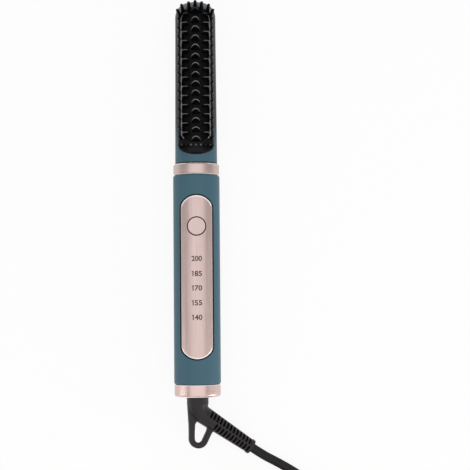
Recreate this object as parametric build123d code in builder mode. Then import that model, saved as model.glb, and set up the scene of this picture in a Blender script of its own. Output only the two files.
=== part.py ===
from build123d import *

import os
from math import cos, hypot, pi, radians, sin, sqrt, tan

# A hair straightening brush lying on its back: X to its right, Y to the tip of its head, Z up.
# The body's axis is level. All lengths are millimetres.

# Lengths along the body
CAP_LENGTH = 9.0
HANDLE_LENGTH = 149.8
COLLAR_LENGTH = 8.2
HEAD_LENGTH = 118.0
RING_GAP = 0.15

# Half width of the handle, and how far the others lie inside it. All are FLAT thinner than wide
HANDLE_HALF = 16.75
FLAT = 1.5
COLLAR_STEP = 0.25
CAP_STEP = 0.2
HEAD_STEP = 1.6
HEAD_TAPER = 0.55
TIP_LENGTH = 22.5
TIP_ROUNDING = 11.0
SHOULDER_ROUNDING = 1.5
COLLAR_BEVEL = 0.8
CAP_ROUNDING = 2.0

# Walls and the clearances between pieces that fit
HEAD_WALL = 1.8
SHELL_WALL = 2.2
SPIGOT_WALL = 2.0
CAP_WALL = 1.6
CAP_FLOOR = 2.5
FIT = 0.1
SLIP = 0.2
RIM_GAP = 0.05
SHELL_CLEARANCE = 0.44
LIP_THICKNESS = 0.9
LIP_HEIGHT = 1.2
SPIGOT_DEPTH = 14.0
CAP_SPIGOT_DEPTH = 7.5

# Opening in the head, for the bristle frame, and the window in the frame, for the heated plate
OPENING_EDGE = 2.0
OPENING_SETBACK = 6.3
OPENING_TIP_EDGE = 5.5
OPENING_LOW_END = (7.5, 6.0)
OPENING_HIGH_END = (9.5, 8.5)
RAIL_WIDTH = 2.6
WINDOW_SETBACK = 8.7
WINDOW_TIP_EDGE = 2.5
WINDOW_LOW_END = (6.0, 4.0)
WINDOW_HIGH_END = (6.9, 5.9)
FRAME_RISE = 1.2
SKIRT_DROP = 1.2
SKIRT_LENGTH = 7.2

# Guard pins round the frame. A fan pin has its share of the opening's half width, its place
# behind the head's tip, and its leans outwards and forwards
PIN_ROOT_RADIUS = 1.15
PIN_TIP_RADIUS = 0.75
PIN_RISE = 5.7
PIN_SIDES = 6
PIN_SINK = 0.8
SIDE_PIN_INSET = 1.2
SIDE_PIN_TIP_EDGE = 15.5
SIDE_PIN_SETBACK = 5.2
SIDE_PIN_COUNT = 15
SIDE_PIN_LEAN = 5.0
FAN_PINS = (
    (0.0, 6.9, 0.0, 19.0),
    (0.35, 8.0, 1.0, 19.0),
    (0.683, 9.9, 4.0, 16.0),
    (0.865, 12.4, 8.0, 10.0),
)
SKIRT_PIN_SHARES = (0.0, 0.278, 0.54, 0.762)
SKIRT_PIN_INSET = 1.9
SKIRT_PIN_LEAN = 9.0

# Heated plate with its teeth
PLATE_DROP = 0.4
PLATE_DEPTH = 11.0
FLANGE_WIDTH = 0.7
TOOTH_ROOT = 2.0
TOOTH_TIP = 0.9
MID_TOOTH_COUNT = 15
MID_TOOTH_TIP_EDGE = 10.5
MID_TOOTH_SETBACK = 2.2
MID_TOOTH_HALF = 3.3
MID_TOOTH_RISE = 8.9
SIDE_TOOTH_COUNT = 14
SIDE_TOOTH_TIP_EDGE = 13.2
SIDE_TOOTH_SETBACK = 5.95
SIDE_TOOTH_INSET = 0.3
SIDE_TOOTH_WIDTH = 4.8
SIDE_TOOTH_RISE = 5.9
SIDE_TOOTH_ROUNDING = 1.9
SIDE_TOOTH_INNER_ROUNDING = 0.8

# Heater under the plate
CHANNEL_EDGE = 1.5
CHANNEL_DEPTH = 3.8
CHANNEL_ROOF = 0.6
CHANNEL_TIP_EDGE = 12.5
ELEMENT_THICKNESS = 2.3
ELEMENT_SETBACK = 4.5
SHEET_THICKNESS = 0.35
CLAMP_THICKNESS = 1.3
CLAMP_OVERLAP = 0.4
CLAMP_SETBACK = 2.5
CLAMP_SCREW_RADIUS = 1.1
CLAMP_SCREW_HEAD_RADIUS = 2.0
CLAMP_SCREW_EDGE = 1.3
CLAMP_SCREW_INSET = 16.0
CLAMP_SCREW_LENGTH = 3.9
HEAD_RIB = 1.6
HEAD_RIB_INSET = 8.0
SENSOR_RADIUS = 1.1
SENSOR_LENGTH = 6.0
SENSOR_OFFSET = 6.0
FUSE_RADIUS = 2.0
FUSE_LENGTH = 11.0
FUSE_OFFSET = 12.0
LEAD_RADIUS = 0.4
LEAD_LENGTH = 6.0

# Control panel and its button. Numbers stand at these distances below the panel's upper end
PANEL_EDGE = 5.65
PANEL_SETBACK = 18.3
PANEL_TOP_EDGE = 15.3
PANEL_END = (9.0, 7.0)
PANEL_RISE = 0.3
PANEL_THICKNESS = 1.2
PANEL_GAP = 0.65
BUTTON_SETBACK = 22.0
BUTTON_RADIUS = 6.4
BUTTON_GAP = 0.5
BUTTON_RISE = 0.45
BUTTON_DISH = 0.2
BUTTON_ROUNDING = 0.5
BUTTON_SKIN = 1.2
BUTTON_FLANGE_RADIUS = 7.75
BUTTON_FLANGE_THICKNESS = 1.0
BUTTON_STEM_RADIUS = 2.2
BUTTON_STEM_LENGTH = 0.8
NUMBER_SETBACKS = (44.4, 55.1, 65.3, 75.8, 86.1)

# Control board and what it carries
BOARD_EDGE = 2.55
BOARD_SETBACK = 14.2
BOARD_TOP_EDGE = 12.0
BOARD_BASE = 3.0
BOARD_THICKNESS = 1.6
BOARD_POST_RADIUS = 2.6
BOARD_POST_INSET = 3.4
BOARD_POST_ENDS = (7.0, 6.0)
BOARD_SCREW_RADIUS = 1.1
BOARD_SCREW_HEAD_RADIUS = 2.2
BOARD_SCREW_LENGTH = 8.0
LAMP_WIDTH = 3.2
LAMP_LENGTH = 1.6
LAMP_THICKNESS = 0.8
GUIDE_HALF = 6.2
GUIDE_PAD_HALF = 4.4
GUIDE_PAD_LENGTH = 3.6
GUIDE_FLANGE_THICKNESS = 1.0
DOME_RADIUS = 4.5
DOME_TOP_RADIUS = 2.6
DOME_SKIN = 0.6

# Parts under the board: place from the board's middle, half width, length and height
RELAY = (0.0, 13.0, 5.5, 18.0, 10.5)
FILM_CAPACITOR = (-5.5, -17.0, 3.2, 14.0, 9.0)
SWITCH_TRANSISTOR = (0.0, -4.5, 5.0, 5.0, 12.0)
STORE_CAPACITOR_PLACE = (5.5, -17.0)
STORE_CAPACITOR_RADIUS = 4.2
STORE_CAPACITOR_HEIGHT = 8.5

# Screws that close the handle, under the panel
BOSS_ENDS = (6.0, 7.2)
BOSS_RADIUS = 4.0
REAR_BOSS_RADIUS = 3.5
SCREW_RADIUS = 1.4
SCREW_HEAD_RADIUS = 2.7
SCREW_HEAD_THICKNESS = 1.8
SCREW_LENGTH = 19.0
SCREW_SINK = 2.1

# Swivel at the handle's end
SPINDLE_RADIUS = 5.5
SPINDLE_CLEARANCE = 0.05
SPINDLE_REACH = 19.0
SPINDLE_SPIGOT_RADIUS = 4.0
SPINDLE_SPIGOT_LENGTH = 2.0
BUSH_LENGTH = 8.9
CLIP_THICKNESS = 0.9
CLIP_RADIUS = 7.6
GROOVE_DEPTH = 1.0
SLIP_RING_THICKNESS = 0.7
SLIP_RING_WIDTH = 3.0
SLIP_RING_INSETS = (8.5, 3.5)
CONTACT_GAP = 0.1
CONTACT_THICKNESS = 0.35
CONTACT_HALF = 4.5
CONTACT_HEIGHT = 2.25
CONTACT_FOOT = 1.0
HOLDER_EDGE = 2.0
HOLDER_MARGIN = 2.3

# Elbow and strain relief of the cord, with the hanging loop
STEM_RADIUS = 7.65
STEM_CLEARANCE = 0.3
STEM_INSET = 2.1
STEM_LAP = 3.8
ELBOW_RADIUS = 7.3
ELBOW_REACH = 10.3
ELBOW_ROLL = 14.3
BOOT_TURN = 34.2
BOOT_LENGTH = 47.9
BOOT_ROOT_RADIUS = 6.8
BOOT_END_RADIUS = 5.0
BOOT_FLANGE_RADIUS = 5.5
BOOT_FLANGE_LENGTH = 2.0
SLOT_PITCH = 2.9
SLOT_WIDTH = 1.5
SLOT_CORE_RADIUS = 3.9
SLOT_SPINE_HALF = 1.1
UPPER_SLOTS = 13
LOWER_SLOTS = 9
LOOP_X = 0.6
LOOP_DROP = 19.8
LOOP_OUTER_RADIUS = 6.9
LOOP_STRAND = 4.1
LOOP_RAKE = 63.4
LOOP_THICKNESS = 5.0
LOOP_BEVEL = 0.9

# Cord, as it lies from the strain relief to its coil, measured from the elbow, and its plug
CORD_RADIUS = 3.25
CORD_ROUTE = (
    (57.2, -38.1),
    (68.0, -44.4),
    (80.0, -52.1),
    (90.5, -62.1),
    (98.4, -74.4),
)
COIL_X = 52.0
COIL_DROP = 105.2
COIL_OUTER = 50.5
COIL_PITCH = 7.0
COIL_LOW_HALVES = 7
COIL_TOP_HALVES = 6
COIL_SIDES = 6
COIL_SAMPLES = 900
CORD_LAST_RUN = 10.5
TAIL_RUNS = ((12.5, -90.0, 0.0), (12.5, -120.0, 2.4), (12.5, -150.0, 3.9), (12.5, -180.0, 3.4))
TAIL_LAST_RUNS = (10.0, 8.0)
PLUG_HALF_WIDTH = 17.65
PLUG_BACK_HALF = 8.0
PLUG_LENGTH = 35.0
PLUG_FACE_LENGTH = 11.0
PLUG_THICKNESS = 13.7
PLUG_ROUNDING = 2.5
PLUG_BOOT_LENGTH = 9.0
PLUG_BOOT_RADIUS = 5.2
PLUG_BOOT_END_RADIUS = 4.2
PLUG_PIN_RADIUS = 2.0
PLUG_PIN_LENGTH = 19.0
PLUG_PIN_SPACING = 18.6

# Wires inside. The mains wires' steps are measured from the contact holder
HEATER_WIRE_RADIUS = 0.9
HEATER_WIRE_INSET = 1.4
HEATER_WIRE_LAP = 3.0
WIRE_HOLE_RADIUS = 1.45
MAINS_WIRE_RADIUS = 0.9
MAINS_STEPS = ((0.0, 0.0, 0.0), (0.0, 5.0, 0.0), (0.5, 13.0, 4.0))
MAINS_PASS = (20.0, 10.0)
MAINS_SWAY = 0.5
MAINS_LAP = 13.0
BUSH_THICKNESS = 6.0

# Where the arcs of an oval section meet, as shares of the side arc's radius
ARC_END_ACROSS = 0.8
ARC_END_UP = 0.6

# Places along the body that follow from the sizes above
TOTAL_LENGTH = CAP_LENGTH + HANDLE_LENGTH + COLLAR_LENGTH + HEAD_LENGTH
CAP_END = -TOTAL_LENGTH / 2
HANDLE_START = CAP_END + CAP_LENGTH
HANDLE_END = HANDLE_START + HANDLE_LENGTH
HEAD_START = HANDLE_END + COLLAR_LENGTH
HEAD_TIP = HEAD_START + HEAD_LENGTH
OPENING_LOW = HEAD_START + OPENING_SETBACK
OPENING_HIGH = HEAD_TIP - OPENING_TIP_EDGE
WINDOW_LOW = OPENING_LOW + WINDOW_SETBACK
WINDOW_HIGH = OPENING_HIGH - WINDOW_TIP_EDGE
SIDE_PIN_FIRST = HEAD_TIP - SIDE_PIN_TIP_EDGE
SIDE_PIN_PITCH = (SIDE_PIN_FIRST - OPENING_LOW - SIDE_PIN_SETBACK) / (SIDE_PIN_COUNT - 1)
MID_TOOTH_FIRST = HEAD_TIP - MID_TOOTH_TIP_EDGE
MID_TOOTH_PITCH = (MID_TOOTH_FIRST - WINDOW_LOW - MID_TOOTH_SETBACK) / (MID_TOOTH_COUNT - 1)
SIDE_TOOTH_FIRST = HEAD_TIP - SIDE_TOOTH_TIP_EDGE
SIDE_TOOTH_PITCH = (SIDE_TOOTH_FIRST - WINDOW_LOW - SIDE_TOOTH_SETBACK) / (SIDE_TOOTH_COUNT - 1)
CHANNEL_HIGH = HEAD_TIP - CHANNEL_TIP_EDGE
ELEMENT_LOW = WINDOW_LOW + ELEMENT_SETBACK
CLAMP_LOW = WINDOW_LOW + CLAMP_SETBACK
CLAMP_HIGH = CHANNEL_HIGH
CLAMP_MIDDLE = (CLAMP_LOW + CLAMP_HIGH) / 2
CLAMP_SCREW_YS = (CLAMP_LOW + CLAMP_SCREW_INSET, CLAMP_HIGH - CLAMP_SCREW_INSET)
HEAD_RIB_YS = (CLAMP_LOW + HEAD_RIB_INSET, CLAMP_HIGH - HEAD_RIB_INSET)
SENSOR_Y = CLAMP_MIDDLE + SENSOR_OFFSET
FUSE_Y = CLAMP_MIDDLE - FUSE_OFFSET
PANEL_LOW = HANDLE_START + PANEL_SETBACK
PANEL_HIGH = HANDLE_END - PANEL_TOP_EDGE
BUTTON_Y = PANEL_HIGH - BUTTON_SETBACK
NUMBER_YS = tuple(PANEL_HIGH - setback for setback in NUMBER_SETBACKS)
BOARD_LOW = PANEL_LOW + BOARD_SETBACK
BOARD_HIGH = PANEL_HIGH - BOARD_TOP_EDGE
BOARD_MIDDLE = (BOARD_LOW + BOARD_HIGH) / 2
BOARD_POST_YS = (BOARD_LOW + BOARD_POST_ENDS[0], BOARD_HIGH - BOARD_POST_ENDS[1])
BOSS_YS = (PANEL_HIGH - BOSS_ENDS[0], PANEL_LOW + BOSS_ENDS[1])
SPINDLE_END = HANDLE_START + SPINDLE_REACH
SLIP_RING_YS = tuple(SPINDLE_END - inset for inset in SLIP_RING_INSETS)
HOLDER_LOW = SLIP_RING_YS[0] - HOLDER_MARGIN
HOLDER_HIGH = SLIP_RING_YS[1] + HOLDER_MARGIN
ELBOW_Y = CAP_END - ELBOW_REACH
STEM_END = ELBOW_Y + STEM_LAP
COIL_Y = ELBOW_Y - COIL_DROP

# Widths and heights that follow from the sizes above. Heights are measured from the axis
AXIS_Z = HANDLE_HALF - FLAT
COLLAR_HALF = HANDLE_HALF - COLLAR_STEP
CAP_HALF = HANDLE_HALF - CAP_STEP
HEAD_ROOT_HALF = HANDLE_HALF - HEAD_STEP
HEAD_HALF = HEAD_ROOT_HALF - HEAD_TAPER
HEAD_TAPER_LENGTH = HEAD_LENGTH - TIP_LENGTH
SHELL_INNER = HANDLE_HALF - SHELL_WALL
SPIGOT_HALF = SHELL_INNER - SLIP
OPENING_HALF = HEAD_HALF - OPENING_EDGE
WINDOW_HALF = OPENING_HALF - RAIL_WIDTH
SKIRT_LOW_HEIGHT = HEAD_HALF - SKIRT_DROP
SKIRT_HIGH_HEIGHT = HEAD_HALF + FRAME_RISE
PIN_TIP_HEIGHT = HEAD_HALF + PIN_RISE
SIDE_PIN_X = OPENING_HALF - SIDE_PIN_INSET
PLATE_LOW = HEAD_HALF - PLATE_DEPTH
TOOTH_FOOT = PLATE_LOW + CHANNEL_DEPTH + CHANNEL_ROOF
MID_TOOTH_HEIGHT = HEAD_HALF + MID_TOOTH_RISE
SIDE_TOOTH_HEIGHT = HEAD_HALF + SIDE_TOOTH_RISE
SIDE_TOOTH_OUTER = WINDOW_HALF - SIDE_TOOTH_INSET
SIDE_TOOTH_INNER = SIDE_TOOTH_OUTER - SIDE_TOOTH_WIDTH
CLAMP_HALF = WINDOW_HALF + CLAMP_OVERLAP
CLAMP_SCREW_X = CLAMP_HALF - CLAMP_SCREW_EDGE
CHANNEL_HALF = CLAMP_SCREW_X - CHANNEL_EDGE
HEATER_WIRE_X = CHANNEL_HALF - HEATER_WIRE_INSET
PANEL_HALF = HANDLE_HALF - PANEL_EDGE
BUTTON_TOP = AXIS_Z + PANEL_RISE + BUTTON_RISE
BOARD_TOP = BOARD_BASE + BOARD_THICKNESS
BOARD_HALF = SHELL_INNER - BOARD_EDGE
BOARD_POST_X = BOARD_HALF - BOARD_POST_INSET
SLIP_RING_RADIUS = SPINDLE_RADIUS + RIM_GAP + SLIP_RING_THICKNESS
HOLDER_TOP = -SLIP_RING_RADIUS - CONTACT_GAP - CONTACT_HEIGHT


def section_plane(y):
    """Plane square to the body's axis, X to the right and Z up, that faces the handle's end."""
    return Plane(origin=(0, y, AXIS_Z), x_dir=(1, 0, 0), z_dir=(0, -1, 0))


def surface_height(half_width, x):
    """Height above the axis of the oval of this half width, at a place across it."""
    side = half_width - 2 * FLAT
    if abs(x) < 2 * FLAT + ARC_END_ACROSS * side:
        return sqrt((half_width + FLAT / 2) ** 2 - x**2) - 1.5 * FLAT
    return sqrt(side**2 - (abs(x) - 2 * FLAT) ** 2)


def oval(half_width):
    """Flattened round of four tangent arcs, concentric with every other such oval."""
    side = half_width - 2 * FLAT
    corner = (2 * FLAT + ARC_END_ACROSS * side, ARC_END_UP * side)
    with BuildSketch(Plane.XY) as outline:
        with BuildLine():
            ThreePointArc((corner[0], -corner[1]), (half_width, 0), corner)
            ThreePointArc(corner, (0, half_width - FLAT), (-corner[0], corner[1]))
            ThreePointArc((-corner[0], corner[1]), (-half_width, 0), (-corner[0], -corner[1]))
            ThreePointArc((-corner[0], -corner[1]), (0, FLAT - half_width), (corner[0], -corner[1]))
        make_face()
    return outline.sketch


def oval_bar(half_width, low, high):
    """Solid bar of oval section between two places along the body."""
    with BuildPart() as bar:
        with BuildSketch(section_plane(high)):
            add(oval(half_width))
        extrude(amount=high - low)
    return bar.part


def head_form(growth):
    """Barrel of the head with its rounded tip, grown or shrunk evenly."""
    taper_end = HEAD_START + HEAD_TAPER_LENGTH
    with BuildPart() as form:
        with BuildSketch(section_plane(HEAD_START)):
            add(oval(HEAD_ROOT_HALF + growth))
        with BuildSketch(section_plane(taper_end)):
            add(oval(HEAD_HALF + growth))
        loft(ruled=True)
        with BuildSketch(section_plane(HEAD_TIP + growth)):
            add(oval(HEAD_HALF + growth))
        extrude(amount=HEAD_TIP + growth - taper_end)
        fillet(form.faces().sort_by(Axis.Y)[-1].edges(), radius=TIP_ROUNDING + growth)
    return form.part


def end_point(half_width, depth, corner):
    """Where the corner arc of a half oval end meets its crown, from the crown's top, and how deep."""
    crown = ((half_width - corner) ** 2 + depth**2 - corner**2) / (2 * (depth - corner))
    share = crown / (crown - corner)
    return share * (half_width - corner), crown - share * (crown - depth)


def long_outline(half_width, low, high, low_end, high_end, growth=0.0):
    """Outline with straight sides and half oval ends, each end given by its depth and corner."""
    side = half_width + growth
    bottom = low - growth
    top = high + growth
    low_depth, low_corner = (size + growth for size in low_end)
    high_depth, high_corner = (size + growth for size in high_end)
    low_x, low_rise = end_point(side, low_depth, low_corner)
    high_x, high_drop = end_point(side, high_depth, high_corner)
    with BuildSketch(Plane.XY) as outline:
        with BuildLine():
            TangentArc((0, bottom), (low_x, bottom + low_rise), tangent=(1, 0))
            TangentArc((side, bottom + low_depth), (low_x, bottom + low_rise), tangent=(0, -1))
            Line((side, bottom + low_depth), (side, top - high_depth))
            TangentArc((side, top - high_depth), (high_x, top - high_drop), tangent=(0, 1))
            TangentArc((0, top), (high_x, top - high_drop), tangent=(1, 0))
            mirror(about=Plane.YZ)
        make_face()
    return outline.sketch


def opening_outline(growth):
    """Opening of the head."""
    ends = (OPENING_LOW_END, OPENING_HIGH_END)
    return long_outline(OPENING_HALF, OPENING_LOW, OPENING_HIGH, *ends, growth)


def window_outline(growth):
    """Window of the bristle frame."""
    ends = (WINDOW_LOW_END, WINDOW_HIGH_END)
    return long_outline(WINDOW_HALF, WINDOW_LOW, WINDOW_HIGH, *ends, growth)


def panel_outline(growth):
    """Control panel, seen from the front."""
    return long_outline(PANEL_HALF, PANEL_LOW, PANEL_HIGH, PANEL_END, PANEL_END, growth)


def prism(outline, low, high):
    """Upright prism on an outline, between two heights above the body's axis."""
    with BuildPart() as column:
        with BuildSketch(Plane.XY.offset(AXIS_Z + low)):
            add(outline)
        extrude(amount=high - low)
    return column.part


def block(half_width, y_low, y_high, low, high, x=0.0):
    """Box across the body, between two heights above its axis."""
    with BuildPart() as box:
        with BuildSketch(Plane.XY.offset(AXIS_Z + low)):
            with Locations((x, (y_low + y_high) / 2)):
                Rectangle(2 * half_width, y_high - y_low)
        extrude(amount=high - low)
    return box.part


def post(radius, x, y, low, high):
    """Upright round post between two heights above the axis."""
    with BuildPart() as column:
        with BuildSketch(Plane.XY.offset(AXIS_Z + low)):
            with Locations((x, y)):
                Circle(radius)
        extrude(amount=high - low)
    return column.part


def barrel(radius, x, low_y, high_y, z):
    """Round bar along the body, at a height above its axis."""
    with BuildPart() as bar:
        with BuildSketch(section_plane(high_y)):
            with Locations((x, z)):
                Circle(radius)
        extrude(amount=high_y - low_y)
    return bar.part


def wire(radius, points):
    """Round wire through points given from the body's axis, with an arc at each corner."""
    route = [Vector(x, y, AXIS_Z + z) for x, y, z in points]
    with BuildPart() as piece:
        with BuildLine() as path:
            FilletPolyline(*route, radius=cord_radii(route))
        with BuildSketch(Plane(origin=route[0], z_dir=route[1] - route[0])):
            Circle(radius)
        sweep(path=path.line)
    return piece.part


def cord_radii(points):
    """Radius at each corner of a route: as large as its two runs allow."""
    radii = []
    for before, corner, after in zip(points, points[1:], points[2:]):
        arriving = corner - before
        leaving = after - corner
        half_turn = radians(arriving.get_angle(leaving)) / 2
        radii.append(0.45 * min(arriving.length, leaving.length) / tan(half_turn))
    return radii


os.makedirs("parts", exist_ok=True)

# Solids that several pieces are cut from
head_outer = head_form(0.0)
head_inner = head_form(-HEAD_WALL)
handle_outer = oval_bar(HANDLE_HALF, HANDLE_START, HANDLE_END)
handle_inner = oval_bar(SHELL_INNER, HANDLE_START, HANDLE_END)
clamp_top = PLATE_LOW - FIT
clamp_low = clamp_top - CLAMP_THICKNESS

# Head housing: the barrel with its tip, the spigot that enters the handle, ribs under the heater
spigot_low = HANDLE_END - SPIGOT_DEPTH
spigot_outer = oval_bar(SPIGOT_HALF, spigot_low, HEAD_START + HEAD_WALL)
spigot_bore = oval_bar(SPIGOT_HALF - SPIGOT_WALL, spigot_low, HEAD_START + 2 * HEAD_WALL)
with BuildPart() as head_ribs:
    for rib_y in HEAD_RIB_YS:
        add(block(HEAD_HALF, rib_y - HEAD_RIB / 2, rib_y + HEAD_RIB / 2, -HEAD_HALF, clamp_low - RIM_GAP))
    add(head_form(-HEAD_WALL / 2), mode=Mode.INTERSECT)
with BuildPart() as head_housing:
    add(head_outer)
    add(head_inner, mode=Mode.SUBTRACT)
    add(spigot_outer)
    add(spigot_bore, mode=Mode.SUBTRACT)
    add(prism(opening_outline(0.0), 0.0, HANDLE_HALF), mode=Mode.SUBTRACT)
    add(head_ribs.part)
head_housing.part.label = "head_housing"
export_step(head_housing.part, "parts/head_housing.step")


# Bristle frame: fills the opening round the window, with a low skirt at the handle's end
def guard_pin(x, y, root_height, lean_x, lean_y):
    """Tapered pin of the frame, from a root inside it to the common height, leaning outwards."""
    lean = Vector(tan(radians(lean_x)), tan(radians(lean_y)), 1).normalized()
    length = (PIN_TIP_HEIGHT - root_height) / lean.Z
    root = Plane(origin=(x, y, AXIS_Z + root_height), z_dir=lean)
    with BuildPart() as pin:
        with BuildSketch(root):
            RegularPolygon(PIN_ROOT_RADIUS, PIN_SIDES)
        with BuildSketch(root.offset(length)):
            RegularPolygon(PIN_TIP_RADIUS, PIN_SIDES)
        loft(ruled=True)
    return pin.part


frame_half = HEAD_HALF + FRAME_RISE
side_pin_root = surface_height(frame_half, SIDE_PIN_X) - PIN_SINK
skirt_pin_y = OPENING_LOW + SKIRT_LENGTH - SKIRT_PIN_INSET
pins = []
for row in range(SIDE_PIN_COUNT):
    pin_y = SIDE_PIN_FIRST - row * SIDE_PIN_PITCH
    pins.append(guard_pin(SIDE_PIN_X, pin_y, side_pin_root, SIDE_PIN_LEAN, 0))
    pins.append(guard_pin(-SIDE_PIN_X, pin_y, side_pin_root, -SIDE_PIN_LEAN, 0))
for share, behind, lean_x, lean_y in FAN_PINS:
    pin_x = share * OPENING_HALF
    pin_y = HEAD_TIP - behind
    ahead = max(0.0, pin_y - HEAD_TIP + TIP_ROUNDING)
    drop = TIP_ROUNDING - sqrt(TIP_ROUNDING**2 - ahead**2)
    root = surface_height(frame_half, pin_x) - drop - PIN_SINK
    pins.append(guard_pin(pin_x, pin_y, root, lean_x, lean_y))
    if pin_x > 0:
        pins.append(guard_pin(-pin_x, pin_y, root, -lean_x, lean_y))
for share in SKIRT_PIN_SHARES:
    pin_x = share * OPENING_HALF
    root = min(surface_height(frame_half, pin_x), SKIRT_HIGH_HEIGHT) - 2 * PIN_SINK
    pins.append(guard_pin(pin_x, skirt_pin_y, root, 0, -SKIRT_PIN_LEAN))
    if pin_x > 0:
        pins.append(guard_pin(-pin_x, skirt_pin_y, root, 0, -SKIRT_PIN_LEAN))

frame_outer = head_form(FRAME_RISE)
with BuildPart() as skirt_cut:
    with BuildSketch(Plane.YZ.offset(-HANDLE_HALF)):
        with BuildLine():
            Polyline(
                (OPENING_LOW, AXIS_Z + SKIRT_LOW_HEIGHT),
                (OPENING_LOW + SKIRT_LENGTH, AXIS_Z + SKIRT_HIGH_HEIGHT),
                (OPENING_LOW + SKIRT_LENGTH, AXIS_Z + HANDLE_HALF),
                (OPENING_LOW - FRAME_RISE, AXIS_Z + HANDLE_HALF),
                (OPENING_LOW - FRAME_RISE, AXIS_Z + SKIRT_LOW_HEIGHT),
                close=True,
            )
        make_face()
    extrude(amount=2 * HANDLE_HALF)
with BuildPart() as bristle_frame:
    add(prism(opening_outline(-SLIP), 0.0, HANDLE_HALF + FRAME_RISE))
    add(frame_outer, mode=Mode.INTERSECT)
    add(head_inner, mode=Mode.SUBTRACT)
    add(prism(window_outline(0.0), 0.0, HANDLE_HALF + FRAME_RISE), mode=Mode.SUBTRACT)
    add(skirt_cut.part, mode=Mode.SUBTRACT)
    add(pins)
bristle_frame.part.label = "bristle_frame"
export_step(bristle_frame.part, "parts/bristle_frame.step")

# Heated plate: curved face in the window, a flange under the frame, a channel for the element
channel_low = WINDOW_LOW - 2 * FLANGE_WIDTH
channel = block(CHANNEL_HALF, channel_low, CHANNEL_HIGH, PLATE_LOW, PLATE_LOW + CHANNEL_DEPTH)
plate_face = head_form(-PLATE_DROP)
flange_face = head_form(-HEAD_WALL - FIT)


def comb(first_y, count, pitch, height):
    """Row of upright wedges right across the head, one for each tooth."""
    with BuildPart() as wedges:
        with BuildSketch(Plane.YZ.offset(-HANDLE_HALF)):
            for tooth in range(count):
                middle = first_y - tooth * pitch
                with BuildLine():
                    Polyline(
                        (middle - TOOTH_ROOT / 2, AXIS_Z + TOOTH_FOOT),
                        (middle + TOOTH_ROOT / 2, AXIS_Z + TOOTH_FOOT),
                        (middle + TOOTH_TIP / 2, AXIS_Z + height),
                        (middle - TOOTH_TIP / 2, AXIS_Z + height),
                        close=True,
                    )
                make_face()
        extrude(amount=2 * HANDLE_HALF)
    return wedges.part


window_column = prism(window_outline(-SLIP), PLATE_LOW, MID_TOOTH_HEIGHT + 1)
with BuildPart() as mid_teeth:
    with BuildSketch(section_plane(WINDOW_HIGH)):
        with BuildLine():
            Bezier(
                (-MID_TOOTH_HALF, TOOTH_FOOT),
                (0, 2 * MID_TOOTH_HEIGHT - TOOTH_FOOT),
                (MID_TOOTH_HALF, TOOTH_FOOT),
            )
            Line((-MID_TOOTH_HALF, TOOTH_FOOT), (MID_TOOTH_HALF, TOOTH_FOOT))
        make_face()
    extrude(amount=WINDOW_HIGH - WINDOW_LOW)
    mid_comb = comb(MID_TOOTH_FIRST, MID_TOOTH_COUNT, MID_TOOTH_PITCH, MID_TOOTH_HEIGHT)
    add(mid_comb, mode=Mode.INTERSECT)
    add(window_column, mode=Mode.INTERSECT)

with BuildPart() as side_teeth:
    with BuildSketch(section_plane(WINDOW_HIGH)) as side_profile:
        with BuildLine():
            outer = SIDE_TOOTH_OUTER
            inner = SIDE_TOOTH_INNER
            FilletPolyline(
                (outer, TOOTH_FOOT),
                (outer, SIDE_TOOTH_HEIGHT),
                (inner, SIDE_TOOTH_HEIGHT),
                (inner, TOOTH_FOOT),
                radius=(SIDE_TOOTH_ROUNDING, SIDE_TOOTH_INNER_ROUNDING),
            )
            Line((inner, TOOTH_FOOT), (outer, TOOTH_FOOT))
        make_face()
        mirror(about=Plane.YZ)
    extrude(amount=WINDOW_HIGH - WINDOW_LOW)
    side_comb = comb(SIDE_TOOTH_FIRST, SIDE_TOOTH_COUNT, SIDE_TOOTH_PITCH, SIDE_TOOTH_HEIGHT)
    add(side_comb, mode=Mode.INTERSECT)
    add(window_column, mode=Mode.INTERSECT)

with BuildPart() as plate_flange:
    add(prism(window_outline(FLANGE_WIDTH), PLATE_LOW, HANDLE_HALF))
    add(flange_face, mode=Mode.INTERSECT)
clamp_bore_top = clamp_low + CLAMP_SCREW_LENGTH + FIT
clamp_bores = [
    post(CLAMP_SCREW_RADIUS + RIM_GAP, side * CLAMP_SCREW_X, screw_y, clamp_low, clamp_bore_top)
    for side in (-1, 1)
    for screw_y in CLAMP_SCREW_YS
]
with BuildPart() as heater_plate:
    add(prism(window_outline(-SLIP), PLATE_LOW, HANDLE_HALF))
    add(plate_face, mode=Mode.INTERSECT)
    add(plate_flange.part)
    add(channel, mode=Mode.SUBTRACT)
    add(clamp_bores, mode=Mode.SUBTRACT)
    add(mid_teeth.part)
    add(side_teeth.part)
heater_plate.part.label = "heater_plate"
export_step(heater_plate.part, "parts/heater_plate.step")

# Heating element in the channel, its insulation and the clamp under both
element_top = PLATE_LOW + CHANNEL_DEPTH - RIM_GAP
element_low = element_top - ELEMENT_THICKNESS
element_high_y = CHANNEL_HIGH - 2 * SLIP
with BuildPart() as heating_element:
    add(block(CHANNEL_HALF - SLIP, ELEMENT_LOW, element_high_y, element_low, element_top))
heating_element.part.label = "heating_element"
export_step(heating_element.part, "parts/heating_element.step")

sheet_low = element_low - SHEET_THICKNESS
with BuildPart() as insulation_sheet:
    add(block(CHANNEL_HALF - SLIP, ELEMENT_LOW, element_high_y, sheet_low, element_low))
insulation_sheet.part.label = "insulation_sheet"
export_step(insulation_sheet.part, "parts/insulation_sheet.step")

with BuildPart() as heater_clamp:
    add(block(CLAMP_HALF, CLAMP_LOW, CLAMP_HIGH, clamp_low, clamp_top))
    add(block(CHANNEL_HALF - SLIP, ELEMENT_LOW, element_high_y, clamp_top, sheet_low))
    add(clamp_bores, mode=Mode.SUBTRACT)
heater_clamp.part.label = "heater_clamp"
export_step(heater_clamp.part, "parts/heater_clamp.step")

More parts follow.
